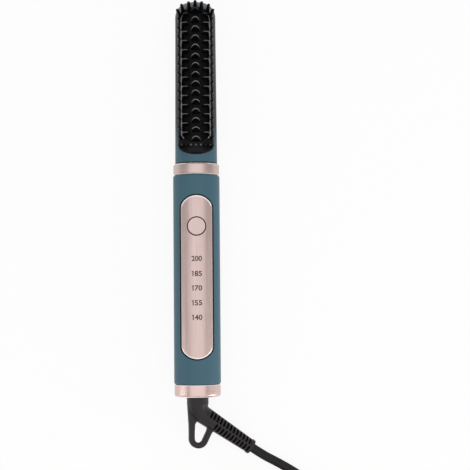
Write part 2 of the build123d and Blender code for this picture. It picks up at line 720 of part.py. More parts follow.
with BuildPart() as clamp_screws:
    for side in (-1, 1):
        for screw_y in CLAMP_SCREW_YS:
            screw_x = side * CLAMP_SCREW_X
            add(post(CLAMP_SCREW_RADIUS, screw_x, screw_y, clamp_low, clamp_low + CLAMP_SCREW_LENGTH))
            add(post(CLAMP_SCREW_HEAD_RADIUS, screw_x, screw_y, clamp_low - CLAMP_SCREW_RADIUS, clamp_low))
clamp_screws.part.label = "clamp_screws"
export_step(clamp_screws.part, "parts/clamp_screws.step")

# Temperature sensor and thermal fuse, both against the clamp's underside
with BuildPart() as temperature_sensor:
    sensor_z = clamp_low - SENSOR_RADIUS
    add(barrel(SENSOR_RADIUS, 0, SENSOR_Y, SENSOR_Y + SENSOR_LENGTH, sensor_z))
    add(barrel(LEAD_RADIUS, SENSOR_RADIUS / 2, SENSOR_Y - LEAD_LENGTH, SENSOR_Y, sensor_z))
    add(barrel(LEAD_RADIUS, -SENSOR_RADIUS / 2, SENSOR_Y - LEAD_LENGTH, SENSOR_Y, sensor_z))
temperature_sensor.part.label = "temperature_sensor"
export_step(temperature_sensor.part, "parts/temperature_sensor.step")

with BuildPart() as thermal_fuse:
    fuse_z = clamp_low - FUSE_RADIUS
    fuse_end = FUSE_Y + FUSE_LENGTH
    add(barrel(FUSE_RADIUS, 0, FUSE_Y, fuse_end, fuse_z))
    add(barrel(LEAD_RADIUS, 0, FUSE_Y - LEAD_LENGTH, FUSE_Y, fuse_z))
thermal_fuse.part.label = "thermal_fuse"
export_step(thermal_fuse.part, "parts/thermal_fuse.step")

# Collar ring between the handle and the head
with BuildPart() as collar_ring:
    add(oval_bar(COLLAR_HALF, HANDLE_END + RING_GAP, HEAD_START - RING_GAP))
    chamfer(collar_ring.edges().filter_by(GeomType.CIRCLE), length=COLLAR_BEVEL)
    add(oval_bar(SPIGOT_HALF + FIT, HANDLE_END, HEAD_START), mode=Mode.SUBTRACT)
collar_ring.part.label = "collar_ring"
export_step(collar_ring.part, "parts/collar_ring.step")

# Heater wires, from the element through the neck bush to the board
wire_level = (element_low + element_top) / 2
heater_wire_route = (
    (HEATER_WIRE_X, ELEMENT_LOW, wire_level),
    (HEATER_WIRE_X, HEAD_START, wire_level),
    (HEATER_WIRE_X, BOARD_HIGH - HEATER_WIRE_LAP, BOARD_TOP + HEATER_WIRE_RADIUS + RIM_GAP),
)
heater_wire = wire(HEATER_WIRE_RADIUS, heater_wire_route)
with BuildPart() as heater_wires:
    add(heater_wire)
    mirror(about=Plane.YZ)
heater_wires.part.label = "heater_wires"
export_step(heater_wires.part, "parts/heater_wires.step")

with BuildPart() as neck_bush:
    add(oval_bar(SPIGOT_HALF - SPIGOT_WALL - FIT, HANDLE_END - BUSH_THICKNESS, HANDLE_END))
    with BuildSketch(section_plane(HANDLE_END + 1)):
        for side in (-1, 1):
            with Locations((side * HEATER_WIRE_X, wire_level)):
                Circle(WIRE_HOLE_RADIUS)
    extrude(amount=BUSH_THICKNESS + 2, mode=Mode.SUBTRACT)
neck_bush.part.label = "neck_bush"
export_step(neck_bush.part, "parts/neck_bush.step")

# Handle shells, split at the level of the axis, with a nesting lip along both sides
with BuildPart() as handle_tube:
    add(handle_outer)
    end_edges = handle_tube.edges().filter_by(GeomType.CIRCLE)
    fillet(end_edges, radius=SHOULDER_ROUNDING)
    add(handle_inner, mode=Mode.SUBTRACT)

lip_bar = oval_bar(SHELL_INNER + LIP_THICKNESS, HANDLE_START, HANDLE_END)
lip_recess_bar = oval_bar(SHELL_INNER + LIP_THICKNESS + FIT, HANDLE_START, HANDLE_END)
upper_half = block(HANDLE_HALF, HANDLE_START, HANDLE_END, 0.0, HANDLE_HALF)
lower_half = block(HANDLE_HALF, HANDLE_START, HANDLE_END, -HANDLE_HALF, 0.0)
button_bore_radius = BUTTON_RADIUS + BUTTON_GAP
pocket_half = HANDLE_HALF + PANEL_RISE - PANEL_THICKNESS - RIM_GAP
boss_top = pocket_half - FLAT - SCREW_SINK
guide_flange_top = surface_height(SHELL_INNER, GUIDE_HALF) - SHELL_CLEARANCE

with BuildPart() as lip:
    add(lip_bar)
    add(handle_inner, mode=Mode.SUBTRACT)
    add(block(HANDLE_HALF, HANDLE_START, HANDLE_END, 0.0, LIP_HEIGHT), mode=Mode.INTERSECT)

with BuildPart() as lip_recess:
    add(lip_recess_bar)
    add(handle_inner, mode=Mode.SUBTRACT)
    add(block(HANDLE_HALF, HANDLE_START, HANDLE_END, 0.0, LIP_HEIGHT + FIT), mode=Mode.INTERSECT)

with BuildPart() as panel_pocket:
    add(prism(panel_outline(PANEL_GAP), 0.0, HANDLE_HALF))
    add(oval_bar(pocket_half, HANDLE_START, HANDLE_END), mode=Mode.SUBTRACT)

with BuildPart() as front_bosses:
    for boss_y in BOSS_YS:
        add(post(BOSS_RADIUS, 0, boss_y, RIM_GAP, SHELL_INNER - FLAT + RIM_GAP))

with BuildPart() as guide_slots:
    for number_y in NUMBER_YS:
        slot_low = number_y - GUIDE_PAD_LENGTH / 2 - FIT
        slot_high = number_y + GUIDE_PAD_LENGTH / 2 + FIT
        add(block(GUIDE_PAD_HALF + FIT, slot_low, slot_high, guide_flange_top, HANDLE_HALF))

with BuildPart() as handle_front_shell:
    add(handle_tube.part)
    add(upper_half, mode=Mode.INTERSECT)
    add(lip_recess.part, mode=Mode.SUBTRACT)
    add(front_bosses.part)
    add(panel_pocket.part, mode=Mode.SUBTRACT)
    add(post(button_bore_radius, 0, BUTTON_Y, 0.0, HANDLE_HALF), mode=Mode.SUBTRACT)
    add(guide_slots.part, mode=Mode.SUBTRACT)
    for boss_y in BOSS_YS:
        add(post(SCREW_RADIUS + RIM_GAP, 0, boss_y, 0.0, HANDLE_HALF), mode=Mode.SUBTRACT)
        add(post(SCREW_HEAD_RADIUS + FIT, 0, boss_y, boss_top, HANDLE_HALF), mode=Mode.SUBTRACT)
handle_front_shell.part.label = "handle_front_shell"
export_step(handle_front_shell.part, "parts/handle_front_shell.step")

with BuildPart() as rear_posts:
    for boss_y in BOSS_YS:
        add(post(REAR_BOSS_RADIUS, 0, boss_y, -HANDLE_HALF, -RIM_GAP))
    for post_y in BOARD_POST_YS:
        for side in (-1, 1):
            add(post(BOARD_POST_RADIUS, side * BOARD_POST_X, post_y, -HANDLE_HALF, BOARD_BASE))
    add(oval_bar(SHELL_INNER + RIM_GAP, HANDLE_START, HANDLE_END), mode=Mode.INTERSECT)

board_screw_low = BOARD_TOP - BOARD_SCREW_LENGTH
with BuildPart() as handle_rear_shell:
    add(handle_tube.part)
    add(lower_half, mode=Mode.INTERSECT)
    add(lip.part)
    add(rear_posts.part)
    for boss_y in BOSS_YS:
        add(post(SCREW_RADIUS + RIM_GAP, 0, boss_y, boss_top - SCREW_LENGTH - FIT, 0.0), mode=Mode.SUBTRACT)
    for post_y in BOARD_POST_YS:
        for side in (-1, 1):
            bore_low = board_screw_low - FIT
            bore = post(BOARD_SCREW_RADIUS + RIM_GAP, side * BOARD_POST_X, post_y, bore_low, BOARD_BASE)
            add(bore, mode=Mode.SUBTRACT)
handle_rear_shell.part.label = "handle_rear_shell"
export_step(handle_rear_shell.part, "parts/handle_rear_shell.step")

with BuildPart() as shell_screws:
    for boss_y in BOSS_YS:
        add(post(SCREW_RADIUS, 0, boss_y, boss_top - SCREW_LENGTH, boss_top))
        add(post(SCREW_HEAD_RADIUS, 0, boss_y, boss_top, boss_top + SCREW_HEAD_THICKNESS))
shell_screws.part.label = "shell_screws"
export_step(shell_screws.part, "parts/shell_screws.step")

# Control panel: a curved plate in its pocket, with the hole of the button
with BuildPart() as control_panel:
    add(prism(panel_outline(0.0), 0.0, HANDLE_HALF + PANEL_RISE))
    add(oval_bar(HANDLE_HALF + PANEL_RISE, HANDLE_START, HANDLE_END), mode=Mode.INTERSECT)
    add(oval_bar(pocket_half + RIM_GAP, HANDLE_START, HANDLE_END), mode=Mode.SUBTRACT)
    add(post(button_bore_radius, 0, BUTTON_Y, 0.0, HANDLE_HALF + PANEL_RISE), mode=Mode.SUBTRACT)
control_panel.part.label = "control_panel"
export_step(control_panel.part, "parts/control_panel.step")

# Power button: a dished cap with a retaining flange and a stem for the dome
button_flange_top = surface_height(SHELL_INNER, BUTTON_FLANGE_RADIUS) - SHELL_CLEARANCE
button_low = button_flange_top - BUTTON_FLANGE_THICKNESS
stem_low = button_low - BUTTON_STEM_LENGTH
with BuildPart() as power_button:
    with BuildSketch(Plane(origin=(0, BUTTON_Y, AXIS_Z), x_dir=(1, 0, 0), z_dir=(0, -1, 0))):
        with BuildLine():
            Polyline(
                (0, stem_low),
                (BUTTON_STEM_RADIUS, stem_low),
                (BUTTON_STEM_RADIUS, BUTTON_TOP - 2 * BUTTON_SKIN),
                (BUTTON_RADIUS - BUTTON_SKIN, BUTTON_TOP - 2 * BUTTON_SKIN),
                (BUTTON_RADIUS - BUTTON_SKIN, button_low),
                (BUTTON_FLANGE_RADIUS, button_low),
                (BUTTON_FLANGE_RADIUS, button_flange_top),
                (BUTTON_RADIUS, button_flange_top),
                (BUTTON_RADIUS, BUTTON_TOP - BUTTON_ROUNDING),
            )
            rim = (BUTTON_RADIUS - BUTTON_ROUNDING, BUTTON_TOP)
            TangentArc((BUTTON_RADIUS, BUTTON_TOP - BUTTON_ROUNDING), rim, tangent=(0, 1))
            TangentArc((0, BUTTON_TOP - BUTTON_DISH), rim, tangent=(1, 0))
            Line((0, BUTTON_TOP - BUTTON_DISH), (0, stem_low))
        make_face()
    revolve(axis=Axis((0, BUTTON_Y, 0), (0, 0, 1)))
power_button.part.label = "power_button"
export_step(power_button.part, "parts/power_button.step")

# Silicone dome under the button
dome_top = stem_low - RIM_GAP
with BuildPart() as button_dome:
    with BuildSketch(Plane(origin=(0, BUTTON_Y, AXIS_Z), x_dir=(1, 0, 0), z_dir=(0, -1, 0))):
        with BuildLine():
            Polyline(
                (0, dome_top),
                (DOME_TOP_RADIUS, dome_top),
                (DOME_RADIUS - DOME_SKIN, BOARD_TOP + DOME_SKIN),
                (DOME_RADIUS, BOARD_TOP + DOME_SKIN),
                (DOME_RADIUS, BOARD_TOP),
                (DOME_RADIUS - 2 * DOME_SKIN, BOARD_TOP),
                (DOME_TOP_RADIUS - DOME_SKIN, dome_top - 2 * DOME_SKIN),
                (0, dome_top - 2 * DOME_SKIN),
                close=True,
            )
        make_face()
    revolve(axis=Axis((0, BUTTON_Y, 0), (0, 0, 1)))
button_dome.part.label = "button_dome"
export_step(button_dome.part, "parts/button_dome.step")

# Control board on its posts, held by four screws
with BuildPart() as control_board:
    add(block(BOARD_HALF, BOARD_LOW, BOARD_HIGH, BOARD_BASE, BOARD_TOP))
    for post_y in BOARD_POST_YS:
        for side in (-1, 1):
            bore = post(BOARD_SCREW_RADIUS + RIM_GAP, side * BOARD_POST_X, post_y, BOARD_BASE, BOARD_TOP)
            add(bore, mode=Mode.SUBTRACT)
control_board.part.label = "control_board"
export_step(control_board.part, "parts/control_board.step")

with BuildPart() as board_screws:
    for post_y in BOARD_POST_YS:
        for side in (-1, 1):
            screw_x = side * BOARD_POST_X
            add(post(BOARD_SCREW_RADIUS, screw_x, post_y, board_screw_low, BOARD_TOP))
            add(post(BOARD_SCREW_HEAD_RADIUS, screw_x, post_y, BOARD_TOP, BOARD_TOP + BOARD_SCREW_RADIUS))
board_screws.part.label = "board_screws"
export_step(board_screws.part, "parts/board_screws.step")

# Lamps on the board, one behind each number, and the clear guide between them and the panel
with BuildPart() as indicator_lights:
    for number_y in NUMBER_YS:
        lamp_low = number_y - LAMP_LENGTH / 2
        add(block(LAMP_WIDTH / 2, lamp_low, lamp_low + LAMP_LENGTH, BOARD_TOP, BOARD_TOP + LAMP_THICKNESS))
indicator_lights.part.label = "indicator_lights"
export_step(indicator_lights.part, "parts/indicator_lights.step")

guide_top = surface_height(pocket_half, GUIDE_PAD_HALF) - FIT
guide_low = BOARD_TOP + LAMP_THICKNESS + FIT
guide_start = NUMBER_YS[-1] - GUIDE_PAD_LENGTH
guide_end = NUMBER_YS[0] + GUIDE_PAD_LENGTH
guide_flange_low = guide_flange_top - GUIDE_FLANGE_THICKNESS
with BuildPart() as light_guide:
    add(block(GUIDE_HALF, guide_start, guide_end, guide_flange_low, guide_flange_top))
    for number_y in NUMBER_YS:
        pad_low = number_y - GUIDE_PAD_LENGTH / 2
        add(block(GUIDE_PAD_HALF, pad_low, pad_low + GUIDE_PAD_LENGTH, guide_low, guide_top))
light_guide.part.label = "light_guide"
export_step(light_guide.part, "parts/light_guide.step")

# Power parts under the board: relay, film capacitor, switching transistor, storage capacitor
with BuildPart() as power_parts:
    for part_x, part_y, half, length, height in (RELAY, FILM_CAPACITOR, SWITCH_TRANSISTOR):
        part_low = BOARD_MIDDLE + part_y - length / 2
        add(block(half, part_low, part_low + length, BOARD_BASE - height, BOARD_BASE, x=part_x))
    store_x, store_y = STORE_CAPACITOR_PLACE
    store_low = BOARD_BASE - STORE_CAPACITOR_HEIGHT
    add(post(STORE_CAPACITOR_RADIUS, store_x, BOARD_MIDDLE + store_y, store_low, BOARD_BASE))
power_parts.part.label = "power_parts"
export_step(power_parts.part, "parts/power_parts.step")

# End cap: rounded ring with a floor, and a spigot inside the shells
cap_inner = SPIGOT_HALF - CAP_WALL
bore_radius = STEM_RADIUS + STEM_CLEARANCE
with BuildPart() as end_cap:
    add(oval_bar(CAP_HALF, CAP_END, HANDLE_START - RING_GAP))
    fillet(end_cap.faces().sort_by(Axis.Y)[0].edges(), radius=CAP_ROUNDING)
    chamfer(end_cap.faces().sort_by(Axis.Y)[-1].edges(), length=COLLAR_BEVEL / 2)
    add(oval_bar(SPIGOT_HALF, CAP_END + CAP_FLOOR, HANDLE_START + CAP_SPIGOT_DEPTH))
    add(oval_bar(cap_inner, CAP_END + CAP_FLOOR, HANDLE_START + CAP_SPIGOT_DEPTH), mode=Mode.SUBTRACT)
    add(barrel(bore_radius, 0, CAP_END, CAP_END + CAP_FLOOR, 0), mode=Mode.SUBTRACT)
end_cap.part.label = "end_cap"
export_step(end_cap.part, "parts/end_cap.step")

# Swivel: a bush held in the cap, and the spindle of the relief that turns in it
bush_low = CAP_END + CAP_FLOOR + RIM_GAP
bush_high = bush_low + BUSH_LENGTH
stem_high = CAP_END + STEM_INSET
with BuildPart() as swivel_bush:
    add(oval_bar(cap_inner - FIT, bush_low, bush_high))
    add(barrel(SPINDLE_RADIUS + SPINDLE_CLEARANCE, 0, bush_low, bush_high, 0), mode=Mode.SUBTRACT)
swivel_bush.part.label = "swivel_bush"
export_step(swivel_bush.part, "parts/swivel_bush.step")

clip_low = bush_high + RIM_GAP
groove_radius = SPINDLE_RADIUS - GROOVE_DEPTH
with BuildPart() as swivel_spindle:
    add(barrel(SPINDLE_RADIUS, 0, stem_high, SPINDLE_END, 0))
    add(barrel(SPINDLE_SPIGOT_RADIUS, 0, stem_high - SPINDLE_SPIGOT_LENGTH, stem_high, 0))
    with BuildSketch(section_plane(clip_low + CLIP_THICKNESS + RIM_GAP)):
        Circle(SPINDLE_RADIUS)
        Circle(groove_radius, mode=Mode.SUBTRACT)
    extrude(amount=CLIP_THICKNESS + 2 * RIM_GAP, mode=Mode.SUBTRACT)
swivel_spindle.part.label = "swivel_spindle"
export_step(swivel_spindle.part, "parts/swivel_spindle.step")

with BuildPart() as retaining_clip:
    with BuildSketch(section_plane(clip_low + CLIP_THICKNESS)):
        Circle(CLIP_RADIUS)
        Circle(groove_radius + RIM_GAP, mode=Mode.SUBTRACT)
        with Locations((0, CLIP_RADIUS)):
            Rectangle(groove_radius, 2 * CLIP_RADIUS, mode=Mode.SUBTRACT)
    extrude(amount=CLIP_THICKNESS)
retaining_clip.part.label = "retaining_clip"
export_step(retaining_clip.part, "parts/retaining_clip.step")

with BuildPart() as slip_rings:
    for ring_y in SLIP_RING_YS:
        with BuildSketch(section_plane(ring_y + SLIP_RING_WIDTH / 2)):
            Circle(SLIP_RING_RADIUS)
            Circle(SPINDLE_RADIUS + RIM_GAP, mode=Mode.SUBTRACT)
        extrude(amount=SLIP_RING_WIDTH)
slip_rings.part.label = "slip_rings"
export_step(slip_rings.part, "parts/slip_rings.step")

# Contacts: a holder on the rear shell and two bowed springs under the rings
with BuildPart() as contact_holder:
    add(block(CONTACT_HALF + HOLDER_EDGE, HOLDER_LOW, HOLDER_HIGH, -SHELL_INNER, HOLDER_TOP))
    add(handle_inner, mode=Mode.INTERSECT)
contact_holder.part.label = "contact_holder"
export_step(contact_holder.part, "parts/contact_holder.step")

spring_top = -SLIP_RING_RADIUS - CONTACT_GAP
with BuildPart() as contact_springs:
    for ring_y in SLIP_RING_YS:
        with BuildSketch(section_plane(ring_y + SLIP_RING_WIDTH / 3)):
            with BuildLine():
                Polyline(
                    (-CONTACT_HALF, HOLDER_TOP),
                    (CONTACT_FOOT - CONTACT_HALF, HOLDER_TOP),
                    (CONTACT_FOOT - CONTACT_HALF, HOLDER_TOP + CONTACT_THICKNESS),
                    (0, spring_top - CONTACT_THICKNESS),
                    (CONTACT_HALF, HOLDER_TOP + 2 * CONTACT_THICKNESS),
                    (CONTACT_HALF, HOLDER_TOP + 3 * CONTACT_THICKNESS),
                    (0, spring_top),
                    (-CONTACT_HALF, HOLDER_TOP + 2 * CONTACT_THICKNESS),
                    close=True,
                )
            make_face()
        extrude(amount=2 * SLIP_RING_WIDTH / 3)
contact_springs.part.label = "contact_springs"
export_step(contact_springs.part, "parts/contact_springs.step")

# Mains wires from the contact holder, past the rear boss, to the board's underside
mains_level = HOLDER_TOP - MAINS_WIRE_RADIUS - FIT
mains_route = [(CONTACT_HALF + x, HOLDER_HIGH + y, mains_level + z) for x, y, z in MAINS_STEPS]
post_side = BOARD_POST_X - BOARD_POST_RADIUS - MAINS_WIRE_RADIUS - FIT
mains_end = BOARD_BASE - MAINS_WIRE_RADIUS - RIM_GAP
mains_route.append((post_side, HOLDER_HIGH + MAINS_PASS[0], mains_level + MAINS_PASS[1]))
mains_route.append((post_side - MAINS_SWAY, BOARD_LOW + MAINS_LAP, mains_end))
mains_wire = wire(MAINS_WIRE_RADIUS, mains_route)
with BuildPart() as mains_wires:
    add(mains_wire)
    mirror(about=Plane.YZ)
mains_wires.part.label = "mains_wires"
export_step(mains_wires.part, "parts/mains_wires.step")

# Cord relief: stem, elbow, slotted boot and hanging loop in one moulding
roll = radians(ELBOW_ROLL)
elbow_plane = Plane(
    origin=(0, ELBOW_Y, AXIS_Z),
    x_dir=(cos(roll), 0, -sin(roll)),
    z_dir=(sin(roll), 0, cos(roll)),
)
boot_heading = Vector(cos(radians(BOOT_TURN)), -sin(radians(BOOT_TURN)), 0)
boot_side = Vector(sin(radians(BOOT_TURN)), cos(radians(BOOT_TURN)), 0)


def boot_plane(distance):
    """Plane square to the boot, at a distance from the elbow's corner; X points to its upper side."""
    origin = elbow_plane.from_local_coords(boot_heading * distance)
    ahead = elbow_plane.from_local_coords(boot_heading) - elbow_plane.origin
    across = elbow_plane.from_local_coords(boot_side) - elbow_plane.origin
    return Plane(origin=origin, x_dir=across, z_dir=ahead)


with BuildPart() as boot:
    with BuildSketch(boot_plane(0)):
        Circle(BOOT_ROOT_RADIUS)
    with BuildSketch(boot_plane(BOOT_LENGTH)):
        Circle(BOOT_END_RADIUS)
    loft(ruled=True)
    with BuildSketch(boot_plane(BOOT_LENGTH - BOOT_FLANGE_LENGTH)):
        Circle(BOOT_FLANGE_RADIUS)
    extrude(amount=BOOT_FLANGE_LENGTH)

with BuildPart() as slots:
    for side, count in ((1, UPPER_SLOTS), (-1, LOWER_SLOTS)):
        for slot in range(count):
            stagger = 0.0 if side > 0 else SLOT_PITCH / 2
            place = BOOT_LENGTH - BOOT_FLANGE_LENGTH - SLOT_PITCH * (slot + 1) + stagger
            with BuildSketch(boot_plane(place)):
                Circle(2 * BOOT_ROOT_RADIUS)
                Circle(SLOT_CORE_RADIUS, mode=Mode.SUBTRACT)
                with Locations((side * (SLOT_SPINE_HALF - 2 * BOOT_ROOT_RADIUS), 0)):
                    Rectangle(4 * BOOT_ROOT_RADIUS, 4 * BOOT_ROOT_RADIUS, mode=Mode.SUBTRACT)
            extrude(amount=SLOT_WIDTH)

loop_inner_radius = LOOP_OUTER_RADIUS - LOOP_STRAND
rake = radians(LOOP_RAKE)


def loop_outline(radius):
    """Loop's outline on the elbow's plane: an arc and two tangent sides that end on the boot's axis."""
    left = (LOOP_X - radius, -LOOP_DROP)
    right = (LOOP_X + radius * sin(rake), -LOOP_DROP - radius * cos(rake))
    bottom = (LOOP_X, -LOOP_DROP - radius)
    reach = (right[0] * tan(rake) - right[1]) / (tan(rake) + tan(radians(BOOT_TURN)))
    on_boot = (reach, -reach * tan(radians(BOOT_TURN)))
    with BuildSketch(Plane.XY) as outline:
        with BuildLine():
            ThreePointArc(left, bottom, right)
            Polyline(right, on_boot, (0, 0), (left[0], 0), left)
        make_face()
    return outline.sketch


with BuildPart() as loop_plate:
    with BuildSketch(elbow_plane.offset(-LOOP_THICKNESS / 2)):
        add(loop_outline(LOOP_OUTER_RADIUS))
    extrude(amount=LOOP_THICKNESS)
    chamfer(loop_plate.faces().filter_by(elbow_plane).edges(), length=LOOP_BEVEL)
    with BuildSketch(elbow_plane.offset(-LOOP_THICKNESS)):
        add(loop_outline(loop_inner_radius))
    extrude(amount=2 * LOOP_THICKNESS, mode=Mode.SUBTRACT)

with BuildPart() as cord_relief:
    add(boot.part)
    add(slots.part, mode=Mode.SUBTRACT)
    add(loop_plate.part)
    add(barrel(STEM_RADIUS, 0, STEM_END, stem_high, 0))
    add(barrel(ELBOW_RADIUS, 0, ELBOW_Y, STEM_END, 0))
    with Locations((0, ELBOW_Y, AXIS_Z)):
        Sphere(ELBOW_RADIUS)
    socket_low = stem_high - SPINDLE_SPIGOT_LENGTH - RIM_GAP
    add(barrel(SPINDLE_SPIGOT_RADIUS + RIM_GAP, 0, socket_low, stem_high, 0), mode=Mode.SUBTRACT)
cord_relief.part.label = "cord_relief"
export_step(cord_relief.part, "parts/cord_relief.step")

# Cord: from the relief, over the surface it lies on, to the coil
boot_end = boot_plane(BOOT_LENGTH)
first_run = (boot_end.origin.Z - CORD_RADIUS) / -boot_end.z_dir.Z
coil_start = (COIL_X + COIL_OUTER, COIL_Y + 2 * CORD_RADIUS)
cord_points = [boot_end.origin, boot_end.origin + boot_end.z_dir * first_run]
cord_points += [Vector(x, ELBOW_Y + y, CORD_RADIUS) for x, y in CORD_ROUTE]
cord_points.append(Vector(coil_start[0], coil_start[1] + CORD_LAST_RUN, CORD_RADIUS))
cord_points.append(Vector(coil_start[0], coil_start[1], CORD_RADIUS))


def cord_tube(points, name):
    """Round tube along a route, with its arcs' radii and its volume printed beside the true one."""
    radii = cord_radii(points)
    with BuildPart() as tube:
        with BuildLine() as path:
            FilletPolyline(*points, radius=radii)
        with BuildSketch(Plane(origin=points[0], z_dir=points[1] - points[0])):
            Circle(CORD_RADIUS)
        sweep(path=path.line)
    length = path.wires()[0].length
    print(name, "arc radii", [round(radius, 1) for radius in radii])
    print(name, "length", round(length, 1), "volume", round(tube.part.volume, 1))
    print(name, "section times length", round(pi * CORD_RADIUS**2 * length, 1))
    return tube.part


with BuildPart() as supply_cord:
    add(cord_tube(cord_points, "supply cord"))
supply_cord.part.label = "supply_cord"
export_step(supply_cord.part, "parts/supply_cord.step")

# Coil of two layers: half turns that spiral in, one that climbs, and half turns that spiral out
HALF_STEP = COIL_PITCH / 2
coil_low = CORD_RADIUS
coil_high = CORD_RADIUS + COIL_PITCH
climb_radius = COIL_OUTER - HALF_STEP * COIL_LOW_HALVES


def half_turn(start, radius):
    """Level half turn, clockwise from above: by the lower side from the right, else by the upper."""
    side = 1 if start.X > COIL_X else -1
    middle = start + Vector(-side * radius, -side * radius, 0)
    end = start + Vector(-2 * side * radius, 0, 0)
    ThreePointArc(start, middle, end)
    return end


with BuildLine() as coil_path:
    coil_place = Vector(coil_start[0], COIL_Y, coil_low)
    Line((coil_start[0], coil_start[1], coil_low), coil_place)
    for half in range(COIL_LOW_HALVES):
        coil_place = half_turn(coil_place, COIL_OUTER - HALF_STEP * half)
    climb_top = coil_place + Vector(climb_radius, hypot(climb_radius, HALF_STEP), HALF_STEP)
    climb_end = coil_place + Vector(2 * climb_radius, 0, COIL_PITCH)
    climb_start = TangentArc(coil_place, climb_top, tangent=(0, 1, 0))
    TangentArc(climb_top, climb_end, tangent=climb_start % 1)
    coil_place = climb_end
    for half in range(COIL_TOP_HALVES):
        coil_place = half_turn(coil_place, climb_radius + HALF_STEP * (half + 1))
    coil_end = coil_place + Vector(0, -2 * CORD_RADIUS, 0)
    Line(coil_place, coil_end)
with BuildPart() as cord_coil:
    with BuildSketch(Plane(origin=(*coil_start, coil_low), x_dir=(1, 0, 0), z_dir=(0, -1, 0))):
        RegularPolygon(CORD_RADIUS, COIL_SIDES, rotation=90)
    sweep(path=coil_path.line)
cord_coil.part.label = "cord_coil"
export_step(cord_coil.part, "parts/cord_coil.step")

coil_wire = coil_path.wires()[0]
samples = [coil_wire.position_at(step / COIL_SAMPLES) for step in range(COIL_SAMPLES + 1)]
apart = int(COIL_SAMPLES * 2 * climb_radius / coil_wire.length)
least = min(
    (one - other).length
    for place, one in enumerate(samples)
    for other in samples[place + apart :]
)
print("coil length", round(coil_wire.length, 1), "least gap to itself", round(least - 2 * CORD_RADIUS, 2))

# Tail of the cord: from the coil's top layer up to the plug that lies on the coil
plug_z = coil_high + CORD_RADIUS + SLIP + PLUG_THICKNESS / 2
tail_points = [coil_end]
for run, heading, rise in TAIL_RUNS:
    step = Vector(run * cos(radians(heading)), run * sin(radians(heading)), rise)
    tail_points.append(tail_points[-1] + step)
for run in TAIL_LAST_RUNS:
    tail_points.append(Vector(tail_points[-1].X - run, tail_points[-1].Y, plug_z))
with BuildPart() as cord_tail:
    add(cord_tube(tail_points, "cord tail"))
cord_tail.part.label = "cord_tail"
export_step(cord_tail.part, "parts/cord_tail.step")

# Plug: a flat moulded body with a boot round the cord, and two round pins
plug_back = tail_points[-1]
plug_start = plug_back.X - PLUG_BOOT_LENGTH
plug_face = plug_start - PLUG_LENGTH
with BuildPart() as plug_body:
    with BuildSketch(Plane.XY.offset(plug_z - PLUG_THICKNESS / 2)):
        with BuildLine():
            Polyline(
                (plug_start, plug_back.Y),
                (plug_start, plug_back.Y + PLUG_BACK_HALF),
                (plug_face + PLUG_FACE_LENGTH, plug_back.Y + PLUG_HALF_WIDTH),
                (plug_face, plug_back.Y + PLUG_HALF_WIDTH),
                (plug_face, plug_back.Y),
            )
            mirror(about=Plane.XZ.offset(-plug_back.Y))
        make_face()
    extrude(amount=PLUG_THICKNESS)
    fillet(plug_body.edges().filter_by(Axis.Z), radius=PLUG_ROUNDING)
    chamfer(plug_body.faces().filter_by(Axis.Z).edges(), length=PLUG_ROUNDING / 2)
    with BuildSketch(Plane(origin=plug_back, z_dir=(-1, 0, 0))):
        Circle(PLUG_BOOT_END_RADIUS)
    with BuildSketch(Plane(origin=(plug_start, plug_back.Y, plug_z), z_dir=(-1, 0, 0))):
        Circle(PLUG_BOOT_RADIUS)
    loft(ruled=True)
plug_body.part.label = "plug_body"
export_step(plug_body.part, "parts/plug_body.step")

with BuildPart() as plug_pins:
    for side in (-1, 1):
        pin_y = plug_back.Y + side * PLUG_PIN_SPACING / 2
        with BuildSketch(Plane(origin=(plug_face, pin_y, plug_z), z_dir=(-1, 0, 0))):
            Circle(PLUG_PIN_RADIUS)
        extrude(amount=PLUG_PIN_LENGTH)
    chamfer(plug_pins.edges().group_by(Axis.X)[0], length=PLUG_PIN_RADIUS / 2)
plug_pins.part.label = "plug_pins"
export_step(plug_pins.part, "parts/plug_pins.step")
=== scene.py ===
"""Looks of a hair straightening brush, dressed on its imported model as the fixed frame.

The brush lies on its back: X to its right, Y to the tip of its head, Z up. Lengths
are metres; a class with its sizes in millimetres says so.
"""

from __future__ import annotations

import logging
from contextlib import contextmanager
from dataclasses import dataclass
from enum import Enum
from math import acos, atan2, cos, pi, radians, sin, sqrt, tan
from typing import Any, Callable, Iterator, Mapping, Sequence, Union

import bmesh
import bpy
from mathutils import Matrix, Vector


